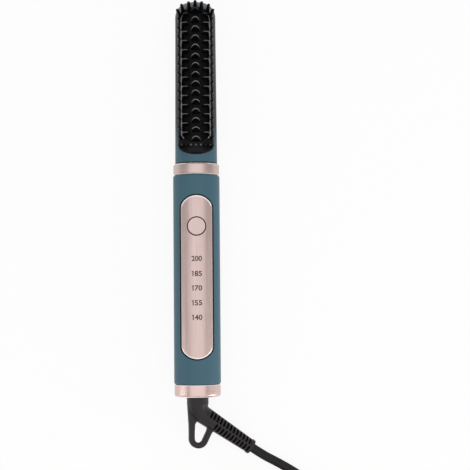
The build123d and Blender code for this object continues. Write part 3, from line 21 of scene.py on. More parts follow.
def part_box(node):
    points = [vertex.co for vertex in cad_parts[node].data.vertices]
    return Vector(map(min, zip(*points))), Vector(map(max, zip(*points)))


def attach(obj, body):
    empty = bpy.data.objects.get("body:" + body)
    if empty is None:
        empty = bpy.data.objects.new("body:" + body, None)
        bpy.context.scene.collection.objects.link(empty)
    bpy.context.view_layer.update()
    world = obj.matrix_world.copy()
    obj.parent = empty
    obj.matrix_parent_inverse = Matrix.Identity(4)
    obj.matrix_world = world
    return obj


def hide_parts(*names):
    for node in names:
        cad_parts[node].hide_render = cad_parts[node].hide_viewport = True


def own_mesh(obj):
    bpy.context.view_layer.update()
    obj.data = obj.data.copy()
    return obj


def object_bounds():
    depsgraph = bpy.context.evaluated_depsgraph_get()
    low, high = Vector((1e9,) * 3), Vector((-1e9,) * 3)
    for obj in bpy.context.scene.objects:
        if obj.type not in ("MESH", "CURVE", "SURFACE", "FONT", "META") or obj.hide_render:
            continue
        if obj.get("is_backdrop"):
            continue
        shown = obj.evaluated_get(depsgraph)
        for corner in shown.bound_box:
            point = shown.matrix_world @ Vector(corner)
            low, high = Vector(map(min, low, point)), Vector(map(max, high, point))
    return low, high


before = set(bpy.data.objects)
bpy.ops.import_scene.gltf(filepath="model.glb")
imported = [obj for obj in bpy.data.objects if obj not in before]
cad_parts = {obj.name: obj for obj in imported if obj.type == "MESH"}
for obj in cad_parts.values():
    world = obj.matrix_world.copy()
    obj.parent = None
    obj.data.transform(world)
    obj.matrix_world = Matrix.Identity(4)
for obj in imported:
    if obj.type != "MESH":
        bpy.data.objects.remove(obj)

LOG = logging.getLogger("hair_brush")
MM = 0.001
MICRON = MM / 1000
AXIS_Z = 15.25 * MM

Colour = tuple[int, int, int]
Place = tuple[float, float, float]
Point = tuple[float, float]
Material = bpy.types.Material
Node = bpy.types.Node
Piece = bpy.types.Object
Loop = Sequence[Sequence[float]]
Test = Callable[[Vector, Vector], bool]


def paint(*levels: int) -> tuple[float, ...]:
    """Turn a colour as the eye reads it, 0 to 255, into the light that shaders use."""
    shares = [level / 255 for level in levels]
    return tuple(s / 12.92 if s <= 0.04045 else ((s + 0.055) / 1.055) ** 2.4 for s in shares)


@dataclass(frozen=True)
class BodyForm:
    """Oval section of the body, and the plain head's taper and rounded tip."""

    flat: float = 1.5 * MM
    side_share: float = 0.8
    tip_half: float = 14.6 * MM
    taper: float = 0.55 * MM
    taper_end: float = 120 * MM
    taper_run: float = 95.5 * MM
    rounding: float = 11 * MM
    rounding_from: float = 131.5 * MM

    def rise(self, half_width: float, x: float) -> float:
        """Height above the axis of a section's upper side.

        Args:
            half_width: half the section's width.
            x: place across the body.

        Returns:
            The height.
        """
        side = half_width - 2 * self.flat
        if abs(x) < 2 * self.flat + self.side_share * side:
            return sqrt((half_width + self.flat / 2) ** 2 - x * x) - 1.5 * self.flat
        return sqrt(max(side * side - (abs(x) - 2 * self.flat) ** 2, 0.0))

    def head_top(self, x: float, y: float, growth: float) -> float:
        """Height above the floor of the head's upper side.

        Args:
            x: place across the head.
            y: place along it.
            growth: how far outside the plain head the surface lies.

        Returns:
            The height.
        """
        share = min(1.0, max(0.0, (self.taper_end - y) / self.taper_run))
        half = self.tip_half + self.taper * share
        rounding = self.rounding + growth
        ahead = min(max(0.0, y - self.rounding_from), rounding)
        return AXIS_Z + self.rise(half + growth - rounding + sqrt(rounding**2 - ahead**2), x)


BODY = BodyForm()


# Shading


def operator(kind: str, swapped: bool = False) -> Callable[[Value, Number], Value]:
    """Make an operator of Value.

    Args:
        kind: what its Math node does.
        swapped: whether the other number stands first.

    Returns:
        The operator.
    """

    def act(value: Value, other: Number) -> Value:
        """Add the Math node."""
        return value.recipe.maths(kind, *((other, value) if swapped else (value, other)))

    return act


class Value:
    """A number in a material: its operators add Math nodes."""

    def __init__(self, recipe: Recipe, socket: bpy.types.NodeSocket) -> None:
        """Hold the socket that gives the number, and the recipe that it is part of."""
        self.recipe = recipe
        self.socket = socket

    __add__, __radd__ = operator("ADD"), operator("ADD", True)
    __sub__, __rsub__ = operator("SUBTRACT"), operator("SUBTRACT", True)
    __mul__, __rmul__ = operator("MULTIPLY"), operator("MULTIPLY", True)
    __truediv__ = operator("DIVIDE")
    __gt__, __lt__ = operator("GREATER_THAN"), operator("LESS_THAN")


Number = Union[Value, float]


class Recipe:
    """One material, written as expressions over the piece's own coordinates."""

    def __init__(self, name: str) -> None:
        """Start a material of this name with one shader, and take the coordinates.

        Args:
            name: the material's name.
        """
        self.material = bpy.data.materials.new(name)
        self.material.use_nodes = True
        self.tree = self.material.node_tree
        self.tree.nodes.clear()
        self.shader = self.node("ShaderNodeBsdfPrincipled")
        self.output = self.node("ShaderNodeOutputMaterial", {"Surface": self.shader.outputs[0]})
        source = self.node("ShaderNodeTexCoord").outputs["Object"]
        split = self.node("ShaderNodeSeparateXYZ", {0: source})
        self.axes = [Value(self, output) for output in split.outputs]

    def node(self, kind: str, sockets: Mapping[Any, Any] | None = None, **settings: Any) -> Node:
        """Add a node.

        Args:
            kind: the node's type.
            sockets: values or links of its inputs, by name or number.
            settings: what is set on it first.

        Returns:
            The node.
        """
        made = self.tree.nodes.new(kind)
        for name, setting in settings.items():
            setattr(made, name, setting)
        for name, given in (sockets or {}).items():
            self.feed(made.inputs[name], given)
        return made

    def feed(self, socket: bpy.types.NodeSocket, given: Any) -> None:
        """Link a socket to a value or an output, or set it to a number or colour.

        Args:
            socket: the input to feed.
            given: what it gets.
        """
        if isinstance(given, Value):
            given = given.socket
        if isinstance(given, bpy.types.NodeSocket):
            self.tree.links.new(given, socket)
        else:
            socket.default_value = (*given, 1.0) if socket.type == "RGBA" else given

    def maths(self, operation: str, *values: Number) -> Value:
        """One Math node on these values."""
        made = self.node("ShaderNodeMath", dict(enumerate(values)), operation=operation)
        return Value(self, made.outputs[0])

    def ramp(self, place: Value, start: float, run: float, most: float = 1.0) -> Value:
        """Share that rises from 0 at a start to 1 one run further, and stops at most."""
        return self.maths("MINIMUM", self.maths("MAXIMUM", (place - start) / run, 0.0), most)

    def noise(
        self,
        cells: Sequence[float],
        detail: float = 2.0,
        roughness: float = 0.5,
        place: Sequence[Value] = (),
    ) -> Value:
        """Noise, from 0 to 1 and 0.5 on average.

        Args:
            cells: how many it has in a metre, along each coordinate.
            detail: how many finer layers it has.
            roughness: how strong they are.
            place: the coordinates, or none for the object's own.

        Returns:
            The noise.
        """
        scaled = [axis * count for axis, count in zip(place or self.axes, cells)]
        vector = self.node("ShaderNodeCombineXYZ", dict(enumerate(scaled))).outputs[0]
        sockets = {"Vector": vector, "Scale": 1.0, "Detail": detail, "Roughness": roughness}
        return Value(self, self.node("ShaderNodeTexNoise", sockets).outputs[0])

    def between(self, share: Value, *ends: Any) -> bpy.types.NodeSocket:
        """Colour between two, each a link or as the eye reads it, by a share from 0 to 1."""
        first, second = (paint(*end) if isinstance(end, tuple) else end for end in ends)
        sockets = {0: share, 6: first, 7: second}
        return self.node("ShaderNodeMix", sockets, data_type="RGBA", clamp_factor=True).outputs[2]

    def relief(self, height: Value, depth: float) -> None:
        """Raise the surface by a height from 0 to 1, that is depth metres at 1."""
        bump = self.node("ShaderNodeBump", {"Height": height, "Distance": depth, "Strength": 1.0})
        self.feed(self.shader.inputs["Normal"], bump.outputs[0])

    def surface(self, **sockets: Any) -> Material:
        """Set the shader's sockets, named with underlines for spaces, and give the material."""
        for name, given in sockets.items():
            self.feed(self.shader.inputs[name.replace("_", " ")], given)
        return self.material


class Grain(Enum):
    """Which way a metal surface was brushed: cells in a metre of its scratches and its bands."""

    LENGTHWISE = (5200, 90, 900), (700, 14, 100)
    AROUND = (90, 5200, 90), (20, 900, 20)
    TURNED = (70, 70, 5600), (30, 30, 1500)


@dataclass(frozen=True)
class ShellLacquer:
    """Satin lacquer of the housing, with the faint ripple that spraying leaves."""

    colour: Colour = (70, 104, 117)
    deep: Colour = (62, 95, 108)
    roughness: float = 0.42
    ripple: float = 9 * MICRON
    # Painted shade: the head's teal is greyed beside the teeth; the dome colour is a lighter
    # painted highlight over its tip.
    painted_shade_grey: Colour = (29, 31, 33)
    painted_shade_from: float = 34 * MM
    painted_shade_run: float = 22 * MM
    painted_shade_most: float = 0.92
    dome: Colour = (90, 96, 100)
    dome_highlight_from: float = 129 * MM
    dome_highlight_run: float = 5 * MM
    # Painted shadow: a dark band on the head where it meets the collar.
    shadow_line: Point = (24.3 * MM, 25.25 * MM)
    shadow_line_colour: Colour = (22, 30, 33)

    def make(self) -> Material:
        """Make the material: teal, with painted shade greying the head beside the teeth, a painted
        highlight lightening its tip dome, and a painted shadow line where the head meets the
        collar.

        Returns:
            The material.
        """
        recipe = Recipe("shell_lacquer")
        y = recipe.axes[1]
        cloud = recipe.noise((40, 22, 40), 3.0)
        pearl = recipe.noise((9000, 9000, 9000), 1.0)
        ripple = recipe.noise((1500, 1500, 1500))
        recipe.relief(ripple + 0.25 * pearl, self.ripple)
        teal = recipe.between(cloud * 0.8 + pearl * 0.2, self.deep, self.colour)
        # Share of painted shade along the head, then the painted highlight over the tip dome.
        head = recipe.ramp(y, self.painted_shade_from, self.painted_shade_run, self.painted_shade_most)
        painted_shade_grey = recipe.between(recipe.ramp(y, self.dome_highlight_from, self.dome_highlight_run), self.painted_shade_grey, self.dome)
        # Painted shadow line at the joint with the collar.
        shadow_line = (y > self.shadow_line[0]) * (y < self.shadow_line[1])
        return recipe.surface(
            Base_Color=recipe.between(shadow_line, recipe.between(head, teal, painted_shade_grey), self.shadow_line_colour),
            Roughness=self.roughness - 0.05 + ripple * 0.1,
            Specular_IOR_Level=0.2,
            Coat_Weight=0.03,
            Coat_Roughness=0.24,
        )


@dataclass(frozen=True)
class BrushedRose:
    """Anodised aluminium, brushed one way."""

    grain: Grain
    name: str = "rose_metal"
    colour: Colour = (216, 195, 191)
    shade: Colour = (196, 171, 166)
    roughness: float = 0.4
    metal: float = 1.0
    # span, edge and pale: a painted highlight, a pale and less metallic band on the rounded ends of
    # the span.
    span: Point = (-9.0, 9.0)
    edge: float = 0.75 * MM
    pale: Colour = (244, 230, 224)
    spread: float = 0.16
    depth: float = 3 * MICRON
    middle: Point = (0.0, -21.0 * MM)
    # Painted shadow: past button_edge the turned button is darkened like the gap round it.
    button_edge: float = 6.1 * MM
    gap_shadow: Colour = (78, 56, 54)

    def make(self) -> Material:
        """Make the material.

        Returns:
            The material.
        """
        recipe = Recipe(self.name + "_" + self.grain.name.lower())
        x, y, _ = place = recipe.axes
        if self.grain is Grain.TURNED:
            across, along = x - self.middle[0], y - self.middle[1]
            reach = recipe.maths("SQRT", across * across + along * along)
            place = [across, along, reach]
        fine, broad = self.grain.value
        scratch = recipe.noise(fine, 2.0, 0.6, place)
        band = recipe.noise(broad, place=place)
        recipe.relief(scratch * 0.7 + band * 0.3, self.depth)
        tone = recipe.between((scratch * 0.6 + band * 0.4 - 0.32) * 2.6, self.shade, self.colour)
        # Painted shadow of the gap round the button, past its edge.
        if self.grain is Grain.TURNED:
            tone = recipe.between(reach > self.button_edge, tone, self.gap_shadow)
        # Painted highlight: the span's rounded ends are pale and less metallic.
        rim = (y < self.span[0] + self.edge) + (y > self.span[1] - self.edge)
        return recipe.surface(
            Base_Color=recipe.between(rim, tone, self.pale),
            Metallic=(1.0 - rim * 0.7) * self.metal,
            Roughness=self.roughness + (scratch - 0.5) * self.spread + (band - 0.5) * 0.1,
        )


@dataclass(frozen=True)
class CoatedTeeth:
    """Black ceramic coating that is fired on the heated plate and its teeth."""

    colour: Colour = (8, 8, 9)
    fleck: Colour = (19, 19, 21)
    roughness: float = 0.3
    depth: float = 6 * MICRON

    def make(self) -> Material:
        """Make the material.

        Returns:
            The material.
        """
        recipe = Recipe("coated_teeth")
        grain = recipe.noise((7000, 7000, 7000), 2.0, 0.6)
        wave = recipe.noise((700, 700, 700))
        recipe.relief(grain * 0.3 + wave * 0.7, self.depth)
        return recipe.surface(
            Base_Color=recipe.between((grain - 0.5) * 3.0, self.colour, self.fleck),
            Roughness=self.roughness + (wave - 0.5) * 0.16,
            Specular_IOR_Level=0.3,
            Coat_Weight=0.1,
            Coat_Roughness=0.16,
        )


@dataclass(frozen=True)
class Moulded:
    """A moulded plastic or rubber, with its eroded mould finish."""

    name: str
    colour: Colour
    tint: Colour
    roughness: float
    grain: float = 5200.0
    depth: float = 12 * MICRON
    clear: float = 0.0
    dull: float = 0.5

    def make(self) -> Material:
        """Make the material.

        Returns:
            The material.
        """
        recipe = Recipe(self.name)
        grit = recipe.noise((self.grain, self.grain, self.grain), 2.0, 0.6)
        flow = recipe.noise((160, 60, 160), 3.0)
        recipe.relief(grit, self.depth)
        return recipe.surface(
            Base_Color=recipe.between(flow * 0.6 + grit * 0.4, self.colour, self.tint),
            Roughness=self.roughness + (grit - 0.5) * 0.14 + (flow - 0.5) * 0.08,
            Transmission_Weight=self.clear,
            Specular_IOR_Level=self.dull,
        )


@dataclass(frozen=True)
class PlainMetal:
    """Rolled, drawn or plated metal of an inner piece or a plug pin."""

    name: str
    colour: Colour
    tint: Colour
    roughness: float

    def make(self) -> Material:
        """Make the material.

        Returns:
            The material.
        """
        recipe = Recipe(self.name)
        drawn = recipe.noise((220, 3800, 3800))
        haze = recipe.noise((300, 300, 300), 3.0)
        recipe.relief(drawn, 2 * MICRON)
        return recipe.surface(
            Base_Color=recipe.between(haze, self.colour, self.tint),
            Metallic=1.0,
            Roughness=self.roughness + (drawn - 0.5) * 0.12 + (haze - 0.5) * 0.08,
        )


@dataclass(frozen=True)
class WireJackets:
    """Silicone wire jackets: one colour on the left of the body, another on the right."""

    name: str
    left: Colour
    right: Colour

    def make(self) -> Material:
        """Make the material.

        Returns:
            The material.
        """
        recipe = Recipe(self.name)
        grit = recipe.noise((2600, 900, 2600))
        recipe.relief(grit, 8 * MICRON)
        return recipe.surface(
            Base_Color=recipe.between(recipe.axes[0] > 0.0, self.left, self.right),
            Roughness=0.5 + (grit - 0.5) * 0.2,
        )


@dataclass(frozen=True)
class BoardLaminate:
    """Circuit board: solder mask with faint copper tracks under it."""

    mask: Colour = (22, 74, 48)
    track: Colour = (40, 104, 66)
    bend: float = 9 * MM
    pitch: float = 1.3 * MM
    width: float = 0.45 * MM

    def make(self) -> Material:
        """Make the material.

        Returns:
            The material.
        """
        recipe = Recipe("board_laminate")
        x, y, _ = recipe.axes
        wander = recipe.maths("PINGPONG", y, self.bend)
        lane = recipe.maths("PINGPONG", x + 0.3 * wander, self.pitch)
        copper = lane < self.width
        weave = recipe.noise((1800, 1800, 1800))
        recipe.relief(copper * 0.6 + weave * 0.4, 20 * MICRON)
        return recipe.surface(
            Base_Color=recipe.between(copper, self.mask, self.track),
            Roughness=0.34 + (weave - 0.5) * 0.16,
        )


@dataclass(frozen=True)
class PrintedInk:
    """Ink of the temperature numbers, a little uneven where it meets the brushed metal."""

    colour: Colour = (66, 46, 44)
    worn: Colour = (84, 62, 60)

    def make(self) -> Material:
        """Make the material.

        Returns:
            The material.
        """
        recipe = Recipe("printed_ink")
        streak = recipe.noise((5200, 300, 300))
        recipe.relief(streak, 2 * MICRON)
        return recipe.surface(
            Base_Color=recipe.between(streak, self.colour, self.worn),
            Roughness=0.52 + (streak - 0.5) * 0.2,
        )


@dataclass(frozen=True)
class StudioPaper:
    """White paper under and round the brush: it keeps the shadow, and looks white in pictures."""

    white: Place = (0.93, 0.93, 0.93)
    share: float = 0.89

    def make(self) -> Material:
        """Make the material: it glows for rays from the camera, also by a mirror or glass.

        Returns:
            The material.
        """
        recipe = Recipe("studio_paper")
        fibre = recipe.noise((300, 300, 300), 3.0)
        recipe.surface(Base_Color=self.white, Roughness=0.7 + (fibre - 0.5) * 0.1)
        rays = recipe.node("ShaderNodeLightPath").outputs
        kinds = ("Is Camera Ray", "Is Glossy Ray", "Is Transmission Ray")
        camera, glossy, through = (Value(recipe, rays[kind]) for kind in kinds)
        share = recipe.maths("MINIMUM", camera + glossy + through, 1.0) * self.share
        glow = recipe.node("ShaderNodeEmission", {"Color": (1.0, 1.0, 1.0), "Strength": 1.0})
        sockets = {0: share, 1: recipe.shader.outputs[0], 2: glow.outputs[0]}
        blend = recipe.node("ShaderNodeMixShader", sockets)
        recipe.feed(recipe.output.inputs["Surface"], blend.outputs[0])
        return recipe.material


# Modelling


class Form(Enum):
    """Primitives that pieces start from."""

    CIRCLE = "primitive_circle_add"
    CYLINDER = "primitive_cylinder_add"


class Element(Enum):
    """What is selected in edit mode."""

    EDGE = "edges"
    FACE = "faces"


class Bench:
    """Blender's own modelling operators, with selections made by place."""

    nearly_nought: float = MICRON
    bore_sides: int = 72

    @staticmethod
    def clear() -> None:
        """Leave nothing selected."""
        bpy.ops.object.select_all(action="DESELECT")

    @classmethod
    def take(cls, piece: Piece) -> None:
        """Select one piece alone, and make it the active one."""
        cls.clear()
        piece.select_set(True)
        bpy.context.view_layer.objects.active = piece

    @staticmethod
    def put(name: str, data: bpy.types.ID) -> Piece:
        """Add an object with this data to the scene."""
        made = bpy.data.objects.new(name, data)
        bpy.context.collection.objects.link(made)
        return made

    @classmethod
    def start(cls, form: Form, name: str, **sizes: Any) -> Piece:
        """Add a primitive whose place is in its mesh.

        Args:
            form: which primitive.
            name: the new piece's name.
            sizes: what its operator takes.

        Returns:
            The new object.
        """
        cls.clear()
        getattr(bpy.ops.mesh, form.value)(**sizes)
        piece = bpy.context.active_object
        piece.name = piece.data.name = name
        bpy.ops.object.transform_apply(location=True, rotation=True, scale=True)
        return piece

    @classmethod
    @contextmanager
    def editing(cls, piece: Piece) -> Iterator[Piece]:
        """Keep a piece, and it alone, in edit mode with all of it selected.

        Args:
            piece: the piece.

        Yields:
            The piece.
        """
        cls.take(piece)
        bpy.ops.object.mode_set(mode="EDIT")
        bpy.ops.mesh.select_mode(type="VERT")
        bpy.ops.mesh.select_all(action="SELECT")
        yield piece
        bpy.ops.object.mode_set(mode="OBJECT")

    @staticmethod
    def choose(piece: Piece, element: Element, test: Callable[[Vector], bool]) -> None:
        """Select the edges or faces whose middle passes a test in edit mode, and nothing else.

        Args:
            piece: the piece in edit mode.
            element: edges or faces.
            test: takes an element's middle.
        """
        bpy.ops.mesh.select_mode(type=element.name)
        bpy.ops.mesh.select_all(action="DESELECT")
        mesh = bmesh.from_edit_mesh(piece.data)
        for item in getattr(mesh, element.value):
            if element is Element.EDGE:
                middle = (item.verts[0].co + item.verts[1].co) / 2
            else:
                middle = item.calc_center_median()
            item.select_set(test(middle))
        mesh.select_flush_mode()
        bmesh.update_edit_mesh(piece.data)

    @staticmethod
    def shape(piece: Piece, move: Callable[[Vector], Sequence[float]]) -> None:
        """Put each vertex where a rule for its place says."""
        for vertex in piece.data.vertices:
            vertex.co = move(vertex.co)
        piece.data.update()

    @classmethod
    def outward(cls, piece: Piece) -> None:
        """Merge doubles and turn every face outwards."""
        with cls.editing(piece):
            bpy.ops.mesh.remove_doubles(threshold=cls.nearly_nought)
            bpy.ops.mesh.normals_make_consistent(inside=False)

    @classmethod
    def stack(cls, name: str, loops: Sequence[Loop], joined: bool = False) -> Piece:
        """Extrude one loop through all the given ones, and close the skin.

        Args:
            name: the new piece's name.
            loops: loops with the same number of points, all in the same sense.
            joined: whether the last loop is bridged to the first one; otherwise both are filled.

        Returns:
            The closed piece.
        """
        count, last = len(loops[0]), len(loops) - 1
        piece = cls.start(Form.CIRCLE, name, vertices=count, radius=1.0, fill_type="NOTHING")
        with cls.editing(piece):
            for _ in range(last):
                bpy.ops.mesh.extrude_region_move(TRANSFORM_OT_translate={"value": (0.0, 0.0, 1.0)})
            if joined:
                cls.choose(piece, Element.EDGE, lambda middle: middle.z in (0.0, last))
                bpy.ops.mesh.bridge_edge_loops()
            else:
                for level in (0.0, last):
                    cls.choose(piece, Element.EDGE, lambda middle: middle.z == level)
                    bpy.ops.mesh.edge_face_add()

        def move(spot: Vector) -> Sequence[float]:
            """Place of one vertex: its loop by its height, its number by its turn."""
            return loops[round(spot.z)][round(atan2(-spot.x, spot.y) * count / (2 * pi)) % count]

        cls.shape(piece, move)
        cls.outward(piece)
        return piece

    @classmethod
    def packed_copy(
        cls, node: str, name: str, above: Callable[[Vector], bool] | None = None
    ) -> Piece:
        """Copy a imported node's shape into a new piece, merged, less what stands on it.

        Args:
            node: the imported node.
            name: the new piece's name.
            above: tells by a face's middle whether it is cut off; the cuts are closed.

        Returns:
            The piece.
        """
        piece = cls.put(name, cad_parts[node].data.copy())
        piece.data.name = name
        with cls.editing(piece):
            bpy.ops.mesh.customdata_custom_splitnormals_clear()
            bpy.ops.mesh.remove_doubles(threshold=cls.nearly_nought)
            if above is not None:
                cls.choose(piece, Element.FACE, above)
                bpy.ops.mesh.delete(type="FACE")
                bpy.ops.mesh.select_all(action="SELECT")
                bpy.ops.mesh.fill_holes(sides=0)
        return piece

    @staticmethod
    def mark(piece: Piece, material: Material, test: Test) -> None:
        """Give the faces that pass a test a second material.

        Args:
            piece: the piece.
            material: the second material.
            test: takes a face's middle and its normal.
        """
        piece.data.materials.append(material)
        place = len(piece.data.materials) - 1
        for face in piece.data.polygons:
            if test(face.center, face.normal):
                face.material_index = place

    @classmethod
    def bore(cls, piece: Piece, radius: float, middle: Sequence[float], depth: float) -> None:
        """Cut a round upright hole through a piece.

        Args:
            piece: the piece.
            radius: the hole's radius.
            middle: the middle of the cut.
            depth: how deep the cut is.
        """
        sizes = {"radius": radius, "depth": depth, "location": tuple(middle)}
        cutter = cls.start(Form.CYLINDER, "cutter", vertices=cls.bore_sides, **sizes)
        cls.modify(piece, "BOOLEAN", operation="DIFFERENCE", object=cutter, solver="EXACT")
        bpy.data.objects.remove(cutter)

    @classmethod
    def round_edges(
        cls, piece: Piece, width: float, angle: float = 40.0, segments: int = 3
    ) -> None:
        """Round the sharp edges with an applied Bevel, and shade the piece smooth.

        Args:
            piece: the piece.
            width: the rounding's width.
            angle: edges sharper than this many degrees are rounded.
            segments: how many facets the rounding has.
        """
        limit = {"limit_method": "ANGLE", "angle_limit": radians(angle)}
        cls.modify(piece, "BEVEL", width=width, segments=segments, **limit)
        cls.polish(piece, angle)

    @classmethod
    def polish(cls, piece: Piece, angle: float) -> None:
        """Shade smooth but for sharper edges, with normals that keep the flat faces flat."""
        cls.smooth(piece, angle)
        cls.modify(piece, "WEIGHTED_NORMAL", keep_sharp=True)

    @classmethod
    def smooth(cls, piece: Piece, angle: float) -> None:
        """Shade smooth but for edges sharper than this many degrees."""
        cls.take(piece)
        bpy.ops.object.shade_smooth_by_angle(angle=radians(angle))

    @classmethod
    def turned(cls, name: str, profile: Sequence[Point], sides: int, foot: Place) -> Piece:
        """Turn a profile round an upright axis.

        Args:
            name: the new piece's name.
            profile: its points, each a radius and a height.
            sides: how many sides the turned piece has.
            foot: the place that the heights start from.

        Returns:
            The closed piece.
        """
        turns = [2 * pi * step / sides for step in range(sides)]
        x, y, z = foot
        loops = [[(x + r * cos(a), y + r * sin(a), z + lift) for a in turns] for r, lift in profile]
        return cls.stack(name, loops)

    @classmethod
    def modify(cls, piece: Piece, kind: str, **settings: Any) -> None:
        """Add one modifier with its settings, and apply it.

        Args:
            piece: the piece.
            kind: the modifier's type.
            settings: its settings.
        """
        cls.take(piece)
        modifier = piece.modifiers.new(kind.lower(), kind)
        for name, setting in settings.items():
            setattr(modifier, name, setting)
        bpy.ops.object.modifier_apply(modifier=modifier.name)

    @classmethod
    def copies(cls, pattern: Piece, places: Sequence[Matrix]) -> list[Piece]:
        """Copy a piece to each place, with a mesh of its own, and remove the pattern.

        Args:
            pattern: the piece to copy.
            places: where the copies go.

        Returns:
            The copies.
        """
        made = []
        for place in places:
            copy = pattern.copy()
            copy.data = pattern.data.copy()
            copy.data.transform(place)
            bpy.context.collection.objects.link(copy)
            made.append(copy)
        bpy.data.objects.remove(pattern)
        return made

    @classmethod
    def join(cls, pieces: Sequence[Piece], name: str) -> Piece:
        """Join pieces into one of this name.

        Args:
            pieces: the pieces.
            name: the joined piece's name.

        Returns:
            The joined piece.
        """
        cls.clear()
        for piece in pieces:
            piece.select_set(True)
        bpy.context.view_layer.objects.active = pieces[0]
        bpy.ops.object.join()
        pieces[0].name = pieces[0].data.name = name
        return pieces[0]


def dress(piece: Piece, material: Material) -> None:
    """Give a piece this material alone."""
    piece.data.materials.clear()
    piece.data.materials.append(material)


def settle(piece: Piece, material: Material, body: str) -> Piece:
    """Dress a new piece, let it ride on a body, and log its name, face count and body.

    Args:
        piece: the new piece.
        material: its material.
        body: the body that it moves with.

    Returns:
        The piece.
    """
    dress(piece, material)
    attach(piece, body)
    LOG.info("%s: %d faces, on %s", piece.name, len(getattr(piece.data, "polygons", ())), body)
    return piece


@dataclass(frozen=True)
class LongOutline:
    """Straight sides with a half oval at each end, given by its depth and corner radius."""

    half: float
    low: float
    high: float
    low_end: Point
    high_end: Point

    def end(self, growth: float, depth: float, corner: float, steps: int) -> list[Point]:
        """Points of one end, from its right side to its left, from the end's crown line down.

        Args:
            growth: how far outside the plain outline it lies.
            depth: how deep the plain end is.
            corner: the radius of its corners.
            steps: points of each arc.

        Returns:
            Its points, from the crown line.
        """
        half, depth, corner = self.half + growth, depth + growth, corner + growth
        crown = ((half - corner) ** 2 + depth**2 - corner**2) / (2 * (depth - corner))
        share = crown / (crown - corner)
        turn = atan2(share * (crown - depth), share * (half - corner))
        corner_arc = [turn * step / steps for step in range(steps + 1)]
        crown_arc = [turn + (pi / 2 - turn) * step / steps for step in range(1, steps + 1)]
        right = [(half - corner + corner * cos(a), -depth + corner * sin(a)) for a in corner_arc]
        right += [(crown * cos(a), -crown + crown * sin(a)) for a in crown_arc]
        return right + [(-x, y) for x, y in reversed(right[:-1])]

    def points(self, growth: float, steps: int, sides: int = 1) -> list[Point]:
        """The whole outline, anticlockwise from its right side.

        Args:
            growth: how far outside the plain outline it lies.
            steps: points of each arc.
            sides: into how many runs each straight side is divided.

        Returns:
            Its points.
        """
        top = [(x, self.high + growth + y) for x, y in self.end(growth, *self.high_end, steps)]
        bottom = [(-x, self.low - growth - y) for x, y in self.end(growth, *self.low_end, steps)]
        rise = top[0][1] - bottom[0][1]
        runs = [rise * step / sides for step in range(1, sides)]
        left = [(top[-1][0], top[-1][1] - run) for run in runs]
        right = [(top[0][0], bottom[-1][1] + run) for run in runs]
        return top + left + bottom + right


class Palette:
    """Finishes that new pieces wear, each made once."""

    def __init__(self) -> None:
        """Make them."""
        # A painted highlight for the panel's bevelled border: near-white and barely metallic.
        border = (250, 243, 239), (242, 232, 228), 0.4, 0.15
        soft = 3600.0
        black = {"depth": 5 * MICRON, "dull": 0.14}
        shine = {"depth": 3 * MICRON}
        self.rose_long = BrushedRose(Grain.LENGTHWISE).make()
        self.rose_painted_highlight = BrushedRose(Grain.AROUND, "rose_border", *border).make()
        self.coated = CoatedTeeth().make()
        self.ink = PrintedInk().make()
        self.black = self.mould("black_moulding", (10, 10, 12), (15, 15, 17), 0.36, **black)
        self.plate = self.mould("plate_coating", (9, 9, 10), (14, 14, 15), 0.5, 6000.0, dull=0.1)
        self.rubber = self.mould("cord_rubber", (33, 32, 33), (42, 41, 41), 0.55, soft, dull=0.12)
        self.relief = self.mould("relief_rubber", (36, 31, 33), (45, 40, 42), 0.42, soft, dull=0.26)
        # Painted shadow: near-black for the boot's slots, the button hole's wall and the groove
        # round the panel.
        self.slot = self.mould("slot_shadow", (12, 11, 12), (17, 16, 17), 0.7, soft, dull=0.1)
        # Painted highlights: lighter greys on the rims of the teeth in the light, and on the skirt
        # pins' tips.
        self.rim = self.mould("polished_rim", (100, 100, 104), (114, 114, 118), 0.22, **shine)
        self.shoulder = self.mould("polished_shoulder", (62, 62, 65), (74, 74, 77), 0.3, **shine)
        # Painted highlight: light grey on the crest of the window's lip.
        self.rail = self.mould("polished_lip", (128, 128, 134), (142, 142, 147), 0.25, **shine)
        self.silicone = self.mould("silicone_dome", (188, 186, 180), (204, 202, 196), 0.6)

    @staticmethod
    def mould(*given: Any, **more: float) -> Material:
        """Make a moulded finish."""
        return Moulded(*given, **more).make()


